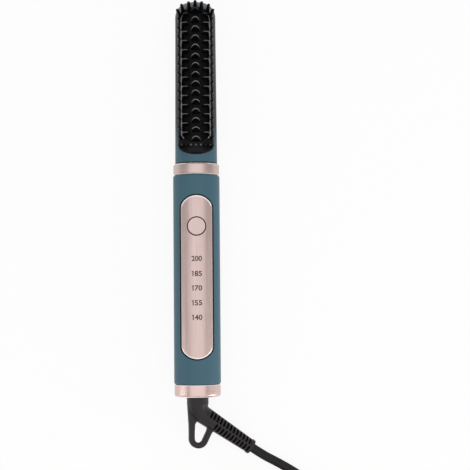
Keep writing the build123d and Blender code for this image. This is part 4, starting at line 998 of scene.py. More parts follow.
class FrameDress:
    """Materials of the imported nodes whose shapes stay."""

    def __init__(self, palette: Palette) -> None:
        """Say which finish goes on which nodes.

        Args:
            palette: the finishes that new pieces share.
        """
        # The spans are the collar's and the cap's lengths: their rounded ends get a painted
        # highlight.
        collar = {"roughness": 0.36, "span": (16.3 * MM, 24.5 * MM)}
        cap = (224, 200, 195), (206, 178, 173), 0.3
        cap_span = (-142.5 * MM, -133.5 * MM)
        ceramic = (206, 202, 192), (220, 217, 208)
        glass = (224, 226, 226), (236, 238, 238)
        brass = (206, 170, 96), (222, 190, 118)
        screws = "clamp_screws shell_screws board_screws retaining_clip"
        own = (
            (ShellLacquer(), "head_housing handle_front_shell handle_rear_shell"),
            (BrushedRose(Grain.AROUND, "rose_collar", **collar), "collar_ring"),
            (BrushedRose(Grain.AROUND, "rose_cap", *cap, span=cap_span), "end_cap"),
            # The turned button gets a painted shadow of the gap round it, past its edge.
            (BrushedRose(Grain.TURNED), "power_button"),
            (
                Moulded("pale_moulding", (196, 194, 186), (208, 206, 198), 0.45),
                "contact_holder swivel_bush",
            ),
            (Moulded("insulation_sheet", (176, 104, 34), (190, 120, 44), 0.3), "insulation_sheet"),
            (Moulded("heater_ceramic", *ceramic, 0.55, 2400.0), "heating_element"),
            (Moulded("component_case", (28, 32, 44), (38, 42, 56), 0.4), "power_parts"),
            (Moulded("light_guide", *glass, 0.2, clear=0.7), "light_guide"),
            (Moulded("lamp_lens", (226, 216, 170), (238, 230, 190), 0.25), "indicator_lights"),
            (BoardLaminate(), "control_board"),
            (PlainMetal("steel", (176, 176, 178), (192, 192, 194), 0.34), screws),
            (
                PlainMetal("clamp_alloy", (190, 191, 193), (206, 207, 209), 0.42),
                "heater_clamp thermal_fuse temperature_sensor",
            ),
            (PlainMetal("brass", *brass, 0.3), "contact_springs slip_rings"),
            (PlainMetal("plug_pin_nickel", (196, 192, 184), (212, 209, 202), 0.24), "plug_pins"),
            (WireJackets("heater_wire", (214, 212, 206), (150, 30, 28)), "heater_wires"),
            (WireJackets("mains_wire", (44, 84, 150), (104, 66, 40)), "mains_wires"),
        )
        self.finishes = [(finish.make(), names) for finish, names in own]
        self.finishes += [
            (palette.rose_long, "control_panel"),
            (palette.coated, "heater_plate"),
            (palette.black, "bristle_frame swivel_spindle neck_bush"),
            (palette.silicone, "button_dome"),
            (palette.rubber, "cord_relief plug_body"),
        ]

    def apply(self) -> None:
        """Give every node its material, in the slots that it already has."""
        for material, names in self.finishes:
            for name in names.split():
                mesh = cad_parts[name].data
                if not mesh.materials:
                    mesh.materials.append(material)
                for place in range(len(mesh.materials)):
                    mesh.materials[place] = material
                LOG.info("%s: packed shape, %s", name, material.name)


# Sub-assemblies


@dataclass
class Assembly:
    """A sub-assembly: it holds its sizes, and its build method makes and dresses its pieces."""

    palette: Palette


@dataclass
class Lead(Assembly):
    """The mains lead: one spline over the surface, into its coil and up to the plug.

    The route and the coil are in millimetres.
    """

    radius: float = 3.25 * MM
    length: float = 1.867
    exit: Place = (38.39 * MM, -179.72 * MM, 5.46 * MM)
    route: tuple[Place, ...] = (
        (38.39, -179.72, 5.46), (47.08, -185.82, 3.25), (57.2, -190.9, 3.25),
        (68.0, -197.2, 3.25), (80.0, -204.9, 3.25), (90.5, -214.9, 3.25), (98.4, -227.2, 3.25),
        (102.5, -241.0, 3.25), (102.5, -251.5, 3.25),
    )
    tail: tuple[Place, ...] = (
        (95.5, -264.5, 10.25), (95.5, -277.0, 10.25), (89.25, -287.825, 12.65),
        (78.425, -294.075, 16.55), (65.925, -294.075, 19.95), (55.925, -294.075, 20.55),
        (47.925, -294.075, 20.55),
    )
    coil_middle: Point = (52.0, -258.0)
    coil_side: float = 102.5
    layers: Point = (3.25, 10.25)
    low_turns: tuple[float, ...] = (50.5, 47.0, 43.5, 40.0, 36.5, 33.0, 29.5)
    climb: float = 26.0
    top_turns: tuple[float, ...] = (29.5, 33.0, 36.5, 40.0, 43.5, 47.0)
    turn_points: int = 8
    resolution: int = 5

    def half_turn(self, start: float, radius: float, low: float, high: float) -> list[Place]:
        """Control points of one half turn, by the lower side from the right, else by the upper.

        Args:
            start: X where it begins.
            radius: its radius, before the spline draws it in.
            low: height where it begins.
            high: height where it ends.

        Returns:
            Its points after the first, in millimetres.
        """
        side = 1 if start > self.coil_middle[0] else -1
        centre = start - side * radius
        reach = radius / (1 - (pi / self.turn_points) ** 2 / 8)
        points = []
        for step in range(1, self.turn_points + 1):
            turn = pi * step / self.turn_points
            height = low + (high - low) * step / self.turn_points
            x = centre + side * reach * cos(turn)
            points.append((x, self.coil_middle[1] - side * reach * sin(turn), height))
        return points

    def points(self) -> list[Place]:
        """All control points, in millimetres.

        Returns:
            The points.
        """
        low, high = self.layers
        turns = [(radius, low, low) for radius in self.low_turns]
        turns.append((self.climb, low, high))
        turns += [(radius, high, high) for radius in self.top_turns]
        points = [*self.route, (self.coil_side, self.coil_middle[1], low)]
        start = self.coil_side
        for turn in turns:
            points += self.half_turn(start, *turn)
            start += -2 * turn[0] if start > self.coil_middle[0] else 2 * turn[0]
        return [*points, *self.tail]

    def build(self, carried: Sequence[Any]) -> None:
        """Args:
            carried: the pieces on the lead; not used.
        """
        curve = bpy.data.curves.new("mains_lead", "CURVE")
        curve.dimensions = "3D"
        curve.bevel_depth = self.radius
        curve.bevel_resolution = self.resolution
        curve.use_fill_caps = True
        line = curve.splines.new("NURBS")
        points = self.points()
        line.points.add(len(points) - 1)
        for knot, point in zip(line.points, points):
            knot.co = (*(MM * size for size in point), 1.0)
        line.order_u = 3
        line.use_endpoint_u = True
        line.resolution_u = self.resolution
        line.use_smooth = True
        lead = Bench.put("mains_lead", curve)
        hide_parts("supply_cord", "cord_coil", "cord_tail")
        settle(lead, self.palette.rubber, "swivel")
        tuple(self.exit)


@dataclass
class Relief(Assembly):
    """Swivelling elbow with its slotted boot, and the loop that the brush hangs by: one moulding.

    Sizes are millimetres in the elbow's own plane: across from its corner, up the body, and out of
    the plane.
    """

    corner: Place = (0.0, -152.8, 15.25)
    roll: float = 14.3
    turn: float = 34.2
    stem_top: float = 12.4
    stem_radius: float = 7.8
    bend_start_radius: float = 7.8
    bend_radius: float = 9.5
    bend_steps: int = 9
    boot_root: float = 6.8
    boot_end: float = 5.0
    boot_length: float = 47.9
    flange_radius: float = 5.5
    flange_length: float = 2.0
    band: float = 1.45
    upper_bands: int = 26
    lower_bands: int = 21
    core: float = 3.9
    spine: float = 0.6
    web: float = 25.0
    arc_steps: int = 6
    rounding: float = 0.24
    slot_shade: float = 0.4
    slots_from: float = 8.0
    slots_margin: float = 0.1
    strand_out: float = 2.5
    strand_corner: float = 1.2
    strand_steps: int = 4
    crease: float = 50.0
    loop_middle: Point = (0.35, -19.5)
    loop_radius: float = 5.0
    loop_turn: float = 153.4
    loop_steps: int = 14
    down_strand: tuple[Place, ...] = (
        (3.0, -4.45, 3.05), (-2.5, -4.3, 2.85), (-6.0, -3.8, 3.15), (-7.0, -3.8, 3.1),
        (-7.8, -4.05, 2.8), (-8.5, -4.32, 2.45), (-9.6, -4.5, 2.22), (-14.0, -4.6, 2.05),
        (-17.0, -4.64, 2.0),
    )
    up_strand: tuple[Point, ...] = ((7.2, 2.05), (8.4, 2.25), (9.3, 2.65), (10.2, 3.2), (12.5, 3.6))

    def spot(self, across: float, up: float, out: float) -> Vector:
        """A place in the elbow's plane, as metres in the scene.

        Args:
            across: how far it is from the corner, across the body.
            up: how far it is up the body.
            out: how far it is out of the plane.

        Returns:
            The place.
        """
        roll = radians(self.roll)
        x = self.corner[0] + across * cos(roll) + out * sin(roll)
        z = self.corner[2] - across * sin(roll) + out * cos(roll)
        return MM * Vector((x, self.corner[1] + up, z))

    def square(self, middle: Point, heading: float, section: Sequence[Point]) -> list[Vector]:
        """Lay a section square to the path at a place of it.

        Args:
            middle: the place, across and up.
            heading: the path's direction there.
            section: points beside the path and out of the plane.

        Returns:
            The section's points in the scene.
        """
        across, up = middle
        beside, ahead = sin(heading), cos(heading)
        return [self.spot(across - side * beside, up + side * ahead, out) for side, out in section]

    def skin(self, radius: float, upper: float, lower: float) -> list[Point]:
        """Section of the boot: full at its spines and side webs, with its own radii between.

        Args:
            radius: the full radius.
            upper: the radius between the webs above.
            lower: the radius between the webs below.

        Returns:
            Points beside the path and out of the plane.
        """
        edge = sqrt(radius**2 - self.spine**2)
        web = radians(self.web)
        points: list[Point] = []
        for sign, side in ((1, upper), (-1, lower)):
            reach = acos(self.spine / side)
            steps = self.arc_steps
            front = [web + (reach - web) * step / steps for step in range(steps + 1)]
            half = [(radius * cos(a), radius * sin(a)) for a in (web / 3, web)]
            half += [(side * cos(a), side * sin(a)) for a in front] + [(self.spine, edge)]
            flank = [(lift, -out) for lift, out in reversed(half)] + half
            points += [(sign * lift, sign * out) for lift, out in flank]
        return points

    def body_loops(self) -> list[list[Vector]]:
        """Loops from the stem, round the bend, and down the boot with its staggered slots.

        Returns:
            The loops.
        """
        down, bend = -pi / 2, pi / 2 - radians(self.turn)
        lead = self.bend_radius * tan(bend / 2)
        loops = [self.square((0.0, self.stem_top), down, self.skin(*[self.stem_radius] * 3))]
        root = self.boot_radius(lead)
        for step in range(self.bend_steps + 1):
            share = step / self.bend_steps
            turn = bend * share
            middle = (self.bend_radius * (1 - cos(turn)), lead - self.bend_radius * sin(turn))
            radius = self.bend_start_radius + (root - self.bend_start_radius) * share
            loops.append(self.square(middle, down + turn, self.skin(*[radius] * 3)))
        slots_end = self.boot_length - self.flange_length
        for mark in range(self.upper_bands, -1, -1):
            place = slots_end - self.band * mark
            loops += [self.boot_loop(place, mark), self.boot_loop(place, mark - 1)]
        flange = self.skin(*[self.flange_radius] * 3)
        return loops + [self.along_boot(place, flange) for place in (slots_end, self.boot_length)]

    def boot_radius(self, place: float) -> float:
        """Full radius of the boot at a distance from the elbow's corner."""
        return self.boot_root - (self.boot_root - self.boot_end) * place / self.boot_length

    def boot_loop(self, place: float, band: int) -> list[Vector]:
        """Loop of the boot as it is in a band, counted from the flange: odd ones are cut above.

        Args:
            place: the distance from the elbow's corner.
            band: the band's number.

        Returns:
            The loop.
        """
        full = self.boot_radius(place)
        upper = self.core if band % 2 and 0 < band < self.upper_bands else full
        lower = self.core if not band % 2 and 0 <= band < self.lower_bands else full
        return self.along_boot(place, self.skin(full, upper, lower))

    def along_boot(self, place: float, section: Sequence[Point]) -> list[Vector]:
        """Lay a section on the boot's straight part."""
        heading = -radians(self.turn)
        return self.square((place * cos(heading), place * sin(heading)), heading, section)

    def in_slot(self, middle: Vector) -> bool:
        """Whether a place of the boot is well under its ribs, where it gets painted shadow.

        Args:
            middle: the place.

        Returns:
            Whether it is.
        """
        heading = -radians(self.turn)
        ahead = self.spot(cos(heading), sin(heading), 0.0) - self.spot(0.0, 0.0, 0.0)
        reach = (middle - self.spot(0.0, 0.0, 0.0)) / MM
        place = reach.dot(ahead.normalized())
        beside = sqrt(max(reach.length_squared - place * place, 0.0))
        end = self.boot_length - self.flange_length + self.slots_margin
        return self.slots_from < place < end and beside < self.boot_radius(place) - self.slot_shade

    def strand(self, half: float) -> list[Point]:
        """Section of the loop: a bar with rounded edges.

        Args:
            half: half the bar's width.

        Returns:
            Points beside the path and out of the plane.
        """
        points, corner = [], self.strand_corner
        for quarter, (side, out) in enumerate(((1, 1), (-1, 1), (-1, -1), (1, -1))):
            for step in range(self.strand_steps + 1):
                turn = pi / 2 * (quarter + step / self.strand_steps)
                lift = side * (half - corner) + corner * cos(turn)
                points.append((lift, out * (self.strand_out - corner) + corner * sin(turn)))
        return points

    def loop_loops(self) -> list[list[Vector]]:
        """Loops down one strand, round the bottom and up the other, each flared where it joins.

        Returns:
            The loops.
        """
        loops = []
        for up, x, half in self.down_strand:
            loops.append(self.square((x, up), -pi / 2, self.strand(half)))
        half = self.up_strand[0][1]
        for step in range(self.loop_steps + 1):
            turn = pi + radians(self.loop_turn) * step / self.loop_steps
            x = self.loop_middle[0] + self.loop_radius * cos(turn)
            up = self.loop_middle[1] + self.loop_radius * sin(turn)
            loops.append(self.square((x, up), turn + pi / 2, self.strand(half)))
        heading = turn + pi / 2
        for reach, half in self.up_strand:
            middle = (x + reach * cos(heading), up + reach * sin(heading))
            loops.append(self.square(middle, heading, self.strand(half)))
        return loops

    def build(self) -> Piece:
        """Make the elbow with its boot, and the loop.

        Returns:
            The elbow.
        """
        elbow = Bench.stack("relief_elbow", self.body_loops())
        Bench.round_edges(elbow, self.rounding * MM, segments=2)
        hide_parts("cord_relief")
        settle(elbow, self.palette.relief, "swivel")
        # Painted shadow deep in the boot's slots.
        Bench.mark(elbow, self.palette.slot, lambda middle, _: self.in_slot(middle))
        loop = Bench.stack("hanging_loop", self.loop_loops())
        Bench.smooth(loop, self.crease)
        settle(loop, self.palette.relief, "swivel")
        return elbow


@dataclass
class Plug(Assembly):
    """Moulded plug at the cord's far end, with softened edges."""

    rounding: float = 0.7 * MM
    flat: float = 1.5
    crease: float = 28.0

    def build(self) -> Piece:
        """Make the plug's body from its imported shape.

        Returns:
            The plug.
        """
        plug = Bench.packed_copy("plug_body", "plug_moulding")
        with Bench.editing(plug):
            bpy.ops.mesh.dissolve_limited(angle_limit=radians(self.flat))
        Bench.round_edges(plug, self.rounding, self.crease)
        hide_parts("plug_body")
        return settle(plug, self.palette.rubber, "swivel")


@dataclass
class Panel(Assembly):
    """Curved metal plate with bevelled edges and the button's hole."""

    outline: LongOutline = LongOutline(
        11.1 * MM, -115.2 * MM, 1.0 * MM, (9 * MM, 7 * MM), (9 * MM, 7 * MM)
    )
    half: float = 17.05 * MM
    thickness: float = 1.2 * MM
    strip: float = 0.95 * MM
    bevel: float = 0.14 * MM
    chamfer: float = 0.85 * MM
    chamfer_drop: float = 0.2 * MM
    button_y: float = -21.0 * MM
    bore: float = 6.9 * MM
    button_zone: float = 13.8 * MM
    wall_reach: float = 0.2 * MM
    wall_slope: float = 0.95
    probe: float = 0.1 * MM
    face_slope: float = 0.99
    side_slope: float = 0.2
    strips: int = 12
    corner_steps: int = 12
    bore_depth: float = 12 * MM
    # A dark sheet in the groove round the plate: a painted shadow.
    gap_shade_growth: float = 0.95 * MM
    gap_shade_low: float = 0.5 * MM
    gap_shade_high: float = 0.24 * MM

    def from_button(self, spot: Vector) -> float:
        """Distance of a place from the button's axis."""
        return sqrt(spot.x**2 + (spot.y - self.button_y) ** 2)

    def on_bevel(self, middle: Vector, normal: Vector) -> bool:
        """Whether a face belongs to the plate's chamfered border.

        Args:
            middle: the face's middle.
            normal: its normal.

        Returns:
            Whether it does.
        """
        left, right = (BODY.rise(self.half, middle.x + side * self.probe) for side in (-1, 1))
        flat = Vector(((left - right) / (2 * self.probe), 0.0, 1.0)).normalized()
        tilted = normal.z > self.side_slope and normal.dot(flat) < self.face_slope
        return tilted and self.from_button(middle) > self.button_zone

    def in_bore(self, middle: Vector, normal: Vector) -> bool:
        """Whether a face belongs to the wall of the button's hole."""
        return self.from_button(middle) < self.bore + self.wall_reach and normal.z < self.wall_slope

    def curved(self, name: str, rings: Sequence[Point]) -> Piece:
        """Extrude the outline, divide it in strips, bend it to the body and bore it.

        Args:
            name: the piece's name.
            rings: how far outside the plate's outline, and how far above its face, each ring lies.

        Returns:
            The curved piece.
        """
        loops = []
        for growth, z in rings:
            loops.append([(x, y, z) for x, y in self.outline.points(growth, self.corner_steps)])
        piece = Bench.stack(name, loops)
        with Bench.editing(piece):
            for number in range(-self.strips, self.strips + 1):
                bpy.ops.mesh.select_all(action="SELECT")
                bpy.ops.mesh.bisect(plane_co=(number * self.strip, 0, 0), plane_no=(1, 0, 0))

        def bend(spot: Vector) -> Place:
            """Place of one vertex on the body."""
            return spot.x, spot.y, AXIS_Z + BODY.rise(self.half, spot.x) + spot.z

        Bench.shape(piece, bend)
        Bench.bore(piece, self.bore, (0.0, self.button_y, AXIS_Z + self.half), self.bore_depth)
        return piece

    def build(self) -> None:
        """Make the plate with its bevelled edges, and a dark sheet round it that paints the shadow
        of its groove.
        """
        rings = (0.0, -self.thickness), (0.0, -self.chamfer_drop), (-self.chamfer, 0.0)
        plate = self.curved("panel_plate", rings)
        Bench.round_edges(plate, self.bevel)
        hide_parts("control_panel")
        settle(plate, self.palette.rose_long, "body")
        # Painted highlight on the bevelled border.
        Bench.mark(plate, self.palette.rose_painted_highlight, self.on_bevel)
        # Painted shadow on the wall of the button's hole.
        Bench.mark(plate, self.palette.slot, self.in_bore)
        # Painted shadow of the groove round the plate.
        growth = self.gap_shade_growth
        gap_shade_sheet = self.curved("panel_seal", ((growth, -self.gap_shade_low), (growth, -self.gap_shade_high)))
        settle(gap_shade_sheet, self.palette.slot, "body")


@dataclass
class HeatedComb(Assembly):
    """Heated plate with its coated teeth: arched in the middle row, round-shouldered beside it.

    Sizes are millimetres, but for the place where the rims' painted highlight stops.
    """

    foot: float = 8.0
    root: float = 2.0
    tip: float = 0.9
    rim: float = 0.36
    rim_turn: float = 0.56
    rim_slope: float = 0.1
    bow: float = 1.5
    lit_below: float = 129.2 * MM
    first_narrow: float = 0.9
    pitch: float = 6.56
    arch_half: float = 3.3
    arch_top: float = 23.5
    arch_base: float = 13.4
    arch_first: float = 134.0
    arch_count: int = 15
    arch_steps: int = 20
    side_inner: float = 4.9
    side_outer: float = 9.7
    side_top: float = 20.5
    side_base: float = 8.4
    inner_rounding: float = 0.8
    inner_slope: float = 0.7
    outer_rounding: float = 1.9
    side_first: float = 130.66
    side_count: int = 14
    corner_steps: int = 6
    drop: float = 0.4
    clear: float = 0.12
    plate_crease: float = 24.0
    row_crease: float = 40.0

    def arch(self) -> list[Point]:
        """Outline of a middle blade, across and above the axis: a half oval."""
        turns = [pi * step / self.arch_steps for step in range(self.arch_steps + 1)]
        rise = self.arch_top - self.arch_base
        return [(self.arch_half * cos(turn), self.arch_base + rise * sin(turn)) for turn in turns]

    def shoulder(self) -> list[Point]:
        """Outline of a right side blade, across and above the axis.

        Returns:
            The outline's points.
        """
        points = [(self.side_outer, self.side_base)]
        outer = (self.side_outer - self.outer_rounding, self.outer_rounding, 0.0)
        inner_x = self.side_inner + self.inner_slope + self.inner_rounding
        for x, radius, start in (outer, (inner_x, self.inner_rounding, pi / 2)):
            for step in range(self.corner_steps + 1):
                turn = start + pi / 2 * step / self.corner_steps
                points.append((x + radius * cos(turn), self.side_top - radius + radius * sin(turn)))
        return points + [(self.side_inner, self.side_base)]

    def blade(self, outline: Sequence[Point], top: float, bow: float) -> Piece:
        """One blade, thinner to its top, with a rounded rim.

        Args:
            outline: its outline, across and above the axis.
            top: the height of its top.
            bow: how far it is bowed towards the handle at its sides.

        Returns:
            The blade, at the middle of the body's length.
        """
        loops = []
        for side in (-0.5, 0.5):
            share = [(z - self.foot) / (top - self.foot) for _, z in outline]
            depth = [side * (self.root + (self.tip - self.root) * part) for part in share]
            bend = [bow * (x / self.arch_half) ** 2 for x, _ in outline]
            spots = zip(outline, depth, bend)
            loops.append([(MM * x, MM * (y - b), AXIS_Z + MM * z) for (x, z), y, b in spots])
        blade = Bench.stack("blade", loops)
        Bench.round_edges(blade, self.rim * MM)
        return blade

    def row(self, name: str, blade: Piece, first: float, count: int, mirrored: bool) -> Piece:
        """Copy a blade along the head, and join the copies.

        Args:
            name: the row's name.
            blade: the blade.
            first: where the one at the tip stands, along the body.
            count: how many there are.
            mirrored: whether they stand on both sides.

        Returns:
            The row.
        """
        spots = [MM * (first - self.pitch * number) for number in range(count)]
        places = [Matrix.Translation((0.0, spot, 0.0)) for spot in spots]
        if mirrored:
            places[0] = places[0] @ Matrix.Scale(self.first_narrow, 4, (1.0, 0.0, 0.0))
            places += [place @ Matrix.Scale(-1.0, 4, (1.0, 0.0, 0.0)) for place in places]
        row = Bench.join(Bench.copies(blade, places), name)
        Bench.outward(row)
        Bench.smooth(row, self.row_crease)
        return row

    def rim_highlighted(self, middle: Vector, normal: Vector) -> bool:
        """Whether a face is on a rim in the light, which gets a painted highlight."""
        on_rim = abs(normal.y) < self.rim_turn and normal.z > self.rim_slope
        return middle.y < self.lit_below and on_rim

    def build(self) -> None:
        """Make the plate's face and the three rows of teeth."""
        drop = -self.drop * MM + self.clear * MM
        plate = Bench.packed_copy(
            "heater_plate",
            "plate_face",
            lambda middle: middle.z > BODY.head_top(middle.x, middle.y, drop),
        )
        Bench.polish(plate, self.plate_crease)
        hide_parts("heater_plate")
        settle(plate, self.palette.plate, "body")
        arch = self.blade(self.arch(), self.arch_top, self.bow)
        middle = self.row("middle_teeth", arch, self.arch_first, self.arch_count, False)
        shoulder = self.blade(self.shoulder(), self.side_top, 0.0)
        side = self.row("side_teeth", shoulder, self.side_first, self.side_count, True)
        for row, rim in ((middle, self.palette.rim), (side, self.palette.shoulder)):
            settle(row, self.palette.coated, "body")
            # Painted highlight on the rims in the light.
            Bench.mark(row, rim, self.rim_highlighted)


@dataclass
class GuardFrame(Assembly):
    """Black frame in the head: its rail, the lip of its window, and the pins that space the hair.

    Sections, pins and places are in millimetres.
    """

    window: LongOutline = LongOutline(
        10 * MM, 39.5 * MM, 134.5 * MM, (6 * MM, 4 * MM), (6.9 * MM, 5.9 * MM)
    )
    margin: float = 0.1 * MM
    rail_crease: float = 24.0
    ring_crease: float = 60.0
    pin_crease: float = 50.0
    corner_steps: int = 8
    side_runs: int = 30
    rise: float = 1.2 * MM
    skirt_start: Point = (30.8 * MM, 13.4 * MM)
    skirt_slope: float = 2.4 / 7.2
    lip: tuple[Point, ...] = (
        (-0.1, -0.4), (-0.1, 0.25), (0.0, 0.42), (0.3, 0.52), (0.6, 0.42), (0.72, 0.25),
        (0.75, -0.4),
    )
    lit_low: float = 8.4 * MM
    lit_high: float = 8.8 * MM
    lit_split: float = 100 * MM
    lit_slope: float = 0.45
    opening: LongOutline = LongOutline(
        12.6 * MM, 30.8 * MM, 137 * MM, (7.5 * MM, 6 * MM), (9.5 * MM, 8.5 * MM)
    )
    bead: tuple[Point, ...] = (
        (-0.4, -0.6), (-0.4, 0.9), (-0.1, 0.75), (0.25, 0.32), (0.42, 0.1), (0.45, -0.5),
    )
    pin: tuple[Point, ...] = (
        (0.0, 1.5), (0.75, 1.42), (1.05, 1.2), (1.7, 1.08), (5.0, 0.92), (9.2, 0.74),
        (9.65, 0.64), (9.9, 0.42), (10.0, 0.16),
    )
    pin_sides: int = 10
    pin_length: float = 10.0
    lit_pin_x: float = 5 * MM
    lit_pin_depth: float = 3 * MM
    pin_top: float = 20.3 * MM
    sink: float = 0.8 * MM
    side_x: float = 11.4
    side_first: float = 127.0
    side_pitch: float = 6.5
    side_count: int = 15
    side_lean: float = 5.0
    fan: tuple[tuple[float, float, float, float], ...] = (
        (0.0, 135.6, 0.0, 28.0), (4.41, 134.5, 2.0, 28.0), (8.606, 132.6, 7.0, 25.0),
        (10.9, 130.1, 10.0, 16.0),
    )
    fan_girth: float = 1.5
    fan_reach: float = 6 * MM
    skirt_xs: Point = (0.0, 3.503, 6.804, 9.601)
    skirt_y: float = 37.2
    skirt_lean: float = -4.0

    def top(self, x: float, y: float) -> float:
        """Height of the frame's upper side, with its skirt at the handle's end."""
        skirt = AXIS_Z + self.skirt_start[1] + (y - self.skirt_start[0]) * self.skirt_slope
        return min(BODY.head_top(x, y, self.rise), skirt)

    def on_lip_highlight(self, middle: Vector, normal: Vector) -> bool:
        """Whether a face is on the part of the lip that gets a painted highlight."""
        reach = self.lit_high if middle.y > self.lit_split else self.lit_low
        return normal.z > self.lit_slope and abs(middle.x) > reach

    def on_pin_highlight(self, middle: Vector, _: Vector) -> bool:
        """Whether a face is on the tip of a skirt pin in the light, which gets a painted highlight.
        """
        near = middle.y < self.skirt_y * MM and abs(middle.x) < self.lit_pin_x
        return near and middle.z > AXIS_Z + self.pin_top - self.lit_pin_depth

    def ring(self, name: str, outline: LongOutline, section: Sequence[Point], rise: float) -> Piece:
        """Run a small section along an outline on the head.

        Args:
            name: the piece's name.
            outline: where it runs.
            section: how far outside the outline, and how far above the surface, its points lie.
            rise: how far the surface is above the plain head.

        Returns:
            The closed ring.
        """
        loops = []
        for growth, lift in section:
            points = outline.points(MM * growth, self.corner_steps, self.side_runs)
            loops.append([(x, y, BODY.head_top(x, y, rise) + MM * lift) for x, y in points])
        piece = Bench.stack(name, loops, True)
        Bench.smooth(piece, self.ring_crease)
        return piece

    def stands(self) -> list[tuple[float, float, float, float, float]]:
        """Place, leans and sink of every pin that is not left of the middle.

        Returns:
            Across, along, lean across, lean along and sink of each.
        """
        spots = [self.side_first - self.side_pitch * row for row in range(self.side_count)]
        rows = [(self.side_x, spot, self.side_lean, 0.0, self.sink) for spot in spots]
        rows += [(*place, self.sink) for place in self.fan]
        place = self.skirt_y, 0.0, self.skirt_lean, 2 * self.sink
        return rows + [(x, *place) for x in self.skirt_xs]

    def places(self) -> list[Matrix]:
        """Where each pin stands, how it leans and how long it is.

        Returns:
            The places, as matrices.
        """
        matrices = []
        for x, y, lean_x, lean_y, sink in self.stands():
            for side in (1, -1) if x > 0 else (1,):
                height = BODY.head_top(MM * x, MM * y, self.rise) - sink
                root = Vector((side * MM * x, MM * y, height))
                lean = Vector((side * tan(radians(lean_x)), tan(radians(lean_y)), 1.0)).normalized()
                stretch = (AXIS_Z + self.pin_top - root.z) / lean.z / (self.pin_length * MM)
                turn = Vector((0.0, 0.0, 1.0)).rotation_difference(lean).to_matrix().to_4x4()
                girth = self.fan_girth if MM * y > self.window.high - self.fan_reach else 1.0
                size = Matrix.Diagonal((girth, girth, stretch, 1.0))
                matrices.append(Matrix.Translation(root) @ turn @ size)
        return matrices

    def build(self) -> None:
        """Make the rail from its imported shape, and the lip, bead and pins on it."""
        rail = Bench.packed_copy(
            "bristle_frame",
            "frame_rail",
            lambda middle: middle.z > self.top(middle.x, middle.y) + self.margin,
        )
        Bench.polish(rail, self.rail_crease)
        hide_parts("bristle_frame")
        lip = self.ring("window_lip", self.window, self.lip, self.rise)
        bead = self.ring("frame_bead", self.opening, self.bead, 0.0)
        profile = [(MM * radius, MM * height) for height, radius in self.pin]
        spike = Bench.turned("pin", profile, self.pin_sides, (0.0, 0.0, 0.0))
        pins = Bench.join(Bench.copies(spike, self.places()), "guard_pins")
        Bench.smooth(pins, self.pin_crease)
        for piece in (rail, lip, bead, pins):
            settle(piece, self.palette.black, "body")
        # Painted highlight on the crest of the lip.
        Bench.mark(lip, self.palette.rail, self.on_lip_highlight)
        # Painted highlight on the tips of the skirt pins.
        Bench.mark(pins, self.palette.shoulder, self.on_pin_highlight)


@dataclass
class Dome(Assembly):
    """Silicone dome under the button, which gives way as the button is pressed."""

    radius: float = 4.5 * MM
    top_radius: float = 2.6 * MM
    skin: float = 0.6 * MM
    travel: float = 0.8 * MM
    corner: float = 0.2 * MM
    sides: int = 32
    crease: float = 30.0
    middle: Point = (0.0, -21.0 * MM)

    def build(self) -> None:
        """Turn the dome's profile round its axis, from the inside of its top to the outside."""
        low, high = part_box("button_dome")
        tall, skin, edge = high[2] - low[2], self.skin, self.corner
        inner = [(edge, tall - 2 * skin), (self.top_radius - skin, tall - 2 * skin)]
        foot = [(self.radius - 2 * skin, 0.0), (self.radius, 0.0), (self.radius, skin)]
        outer = [(self.radius - skin, skin), (self.top_radius, tall - edge)]
        top = [(self.top_radius - edge, tall), (edge, tall)]
        x, y = self.middle
        profile = inner + foot + outer + top
        dome = Bench.turned("silicone_dome", profile, self.sides, (x, y, low[2]))
        Bench.smooth(dome, self.crease)
        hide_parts("button_dome")
        settle(dome, self.palette.silicone, "body")
        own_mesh(dome)


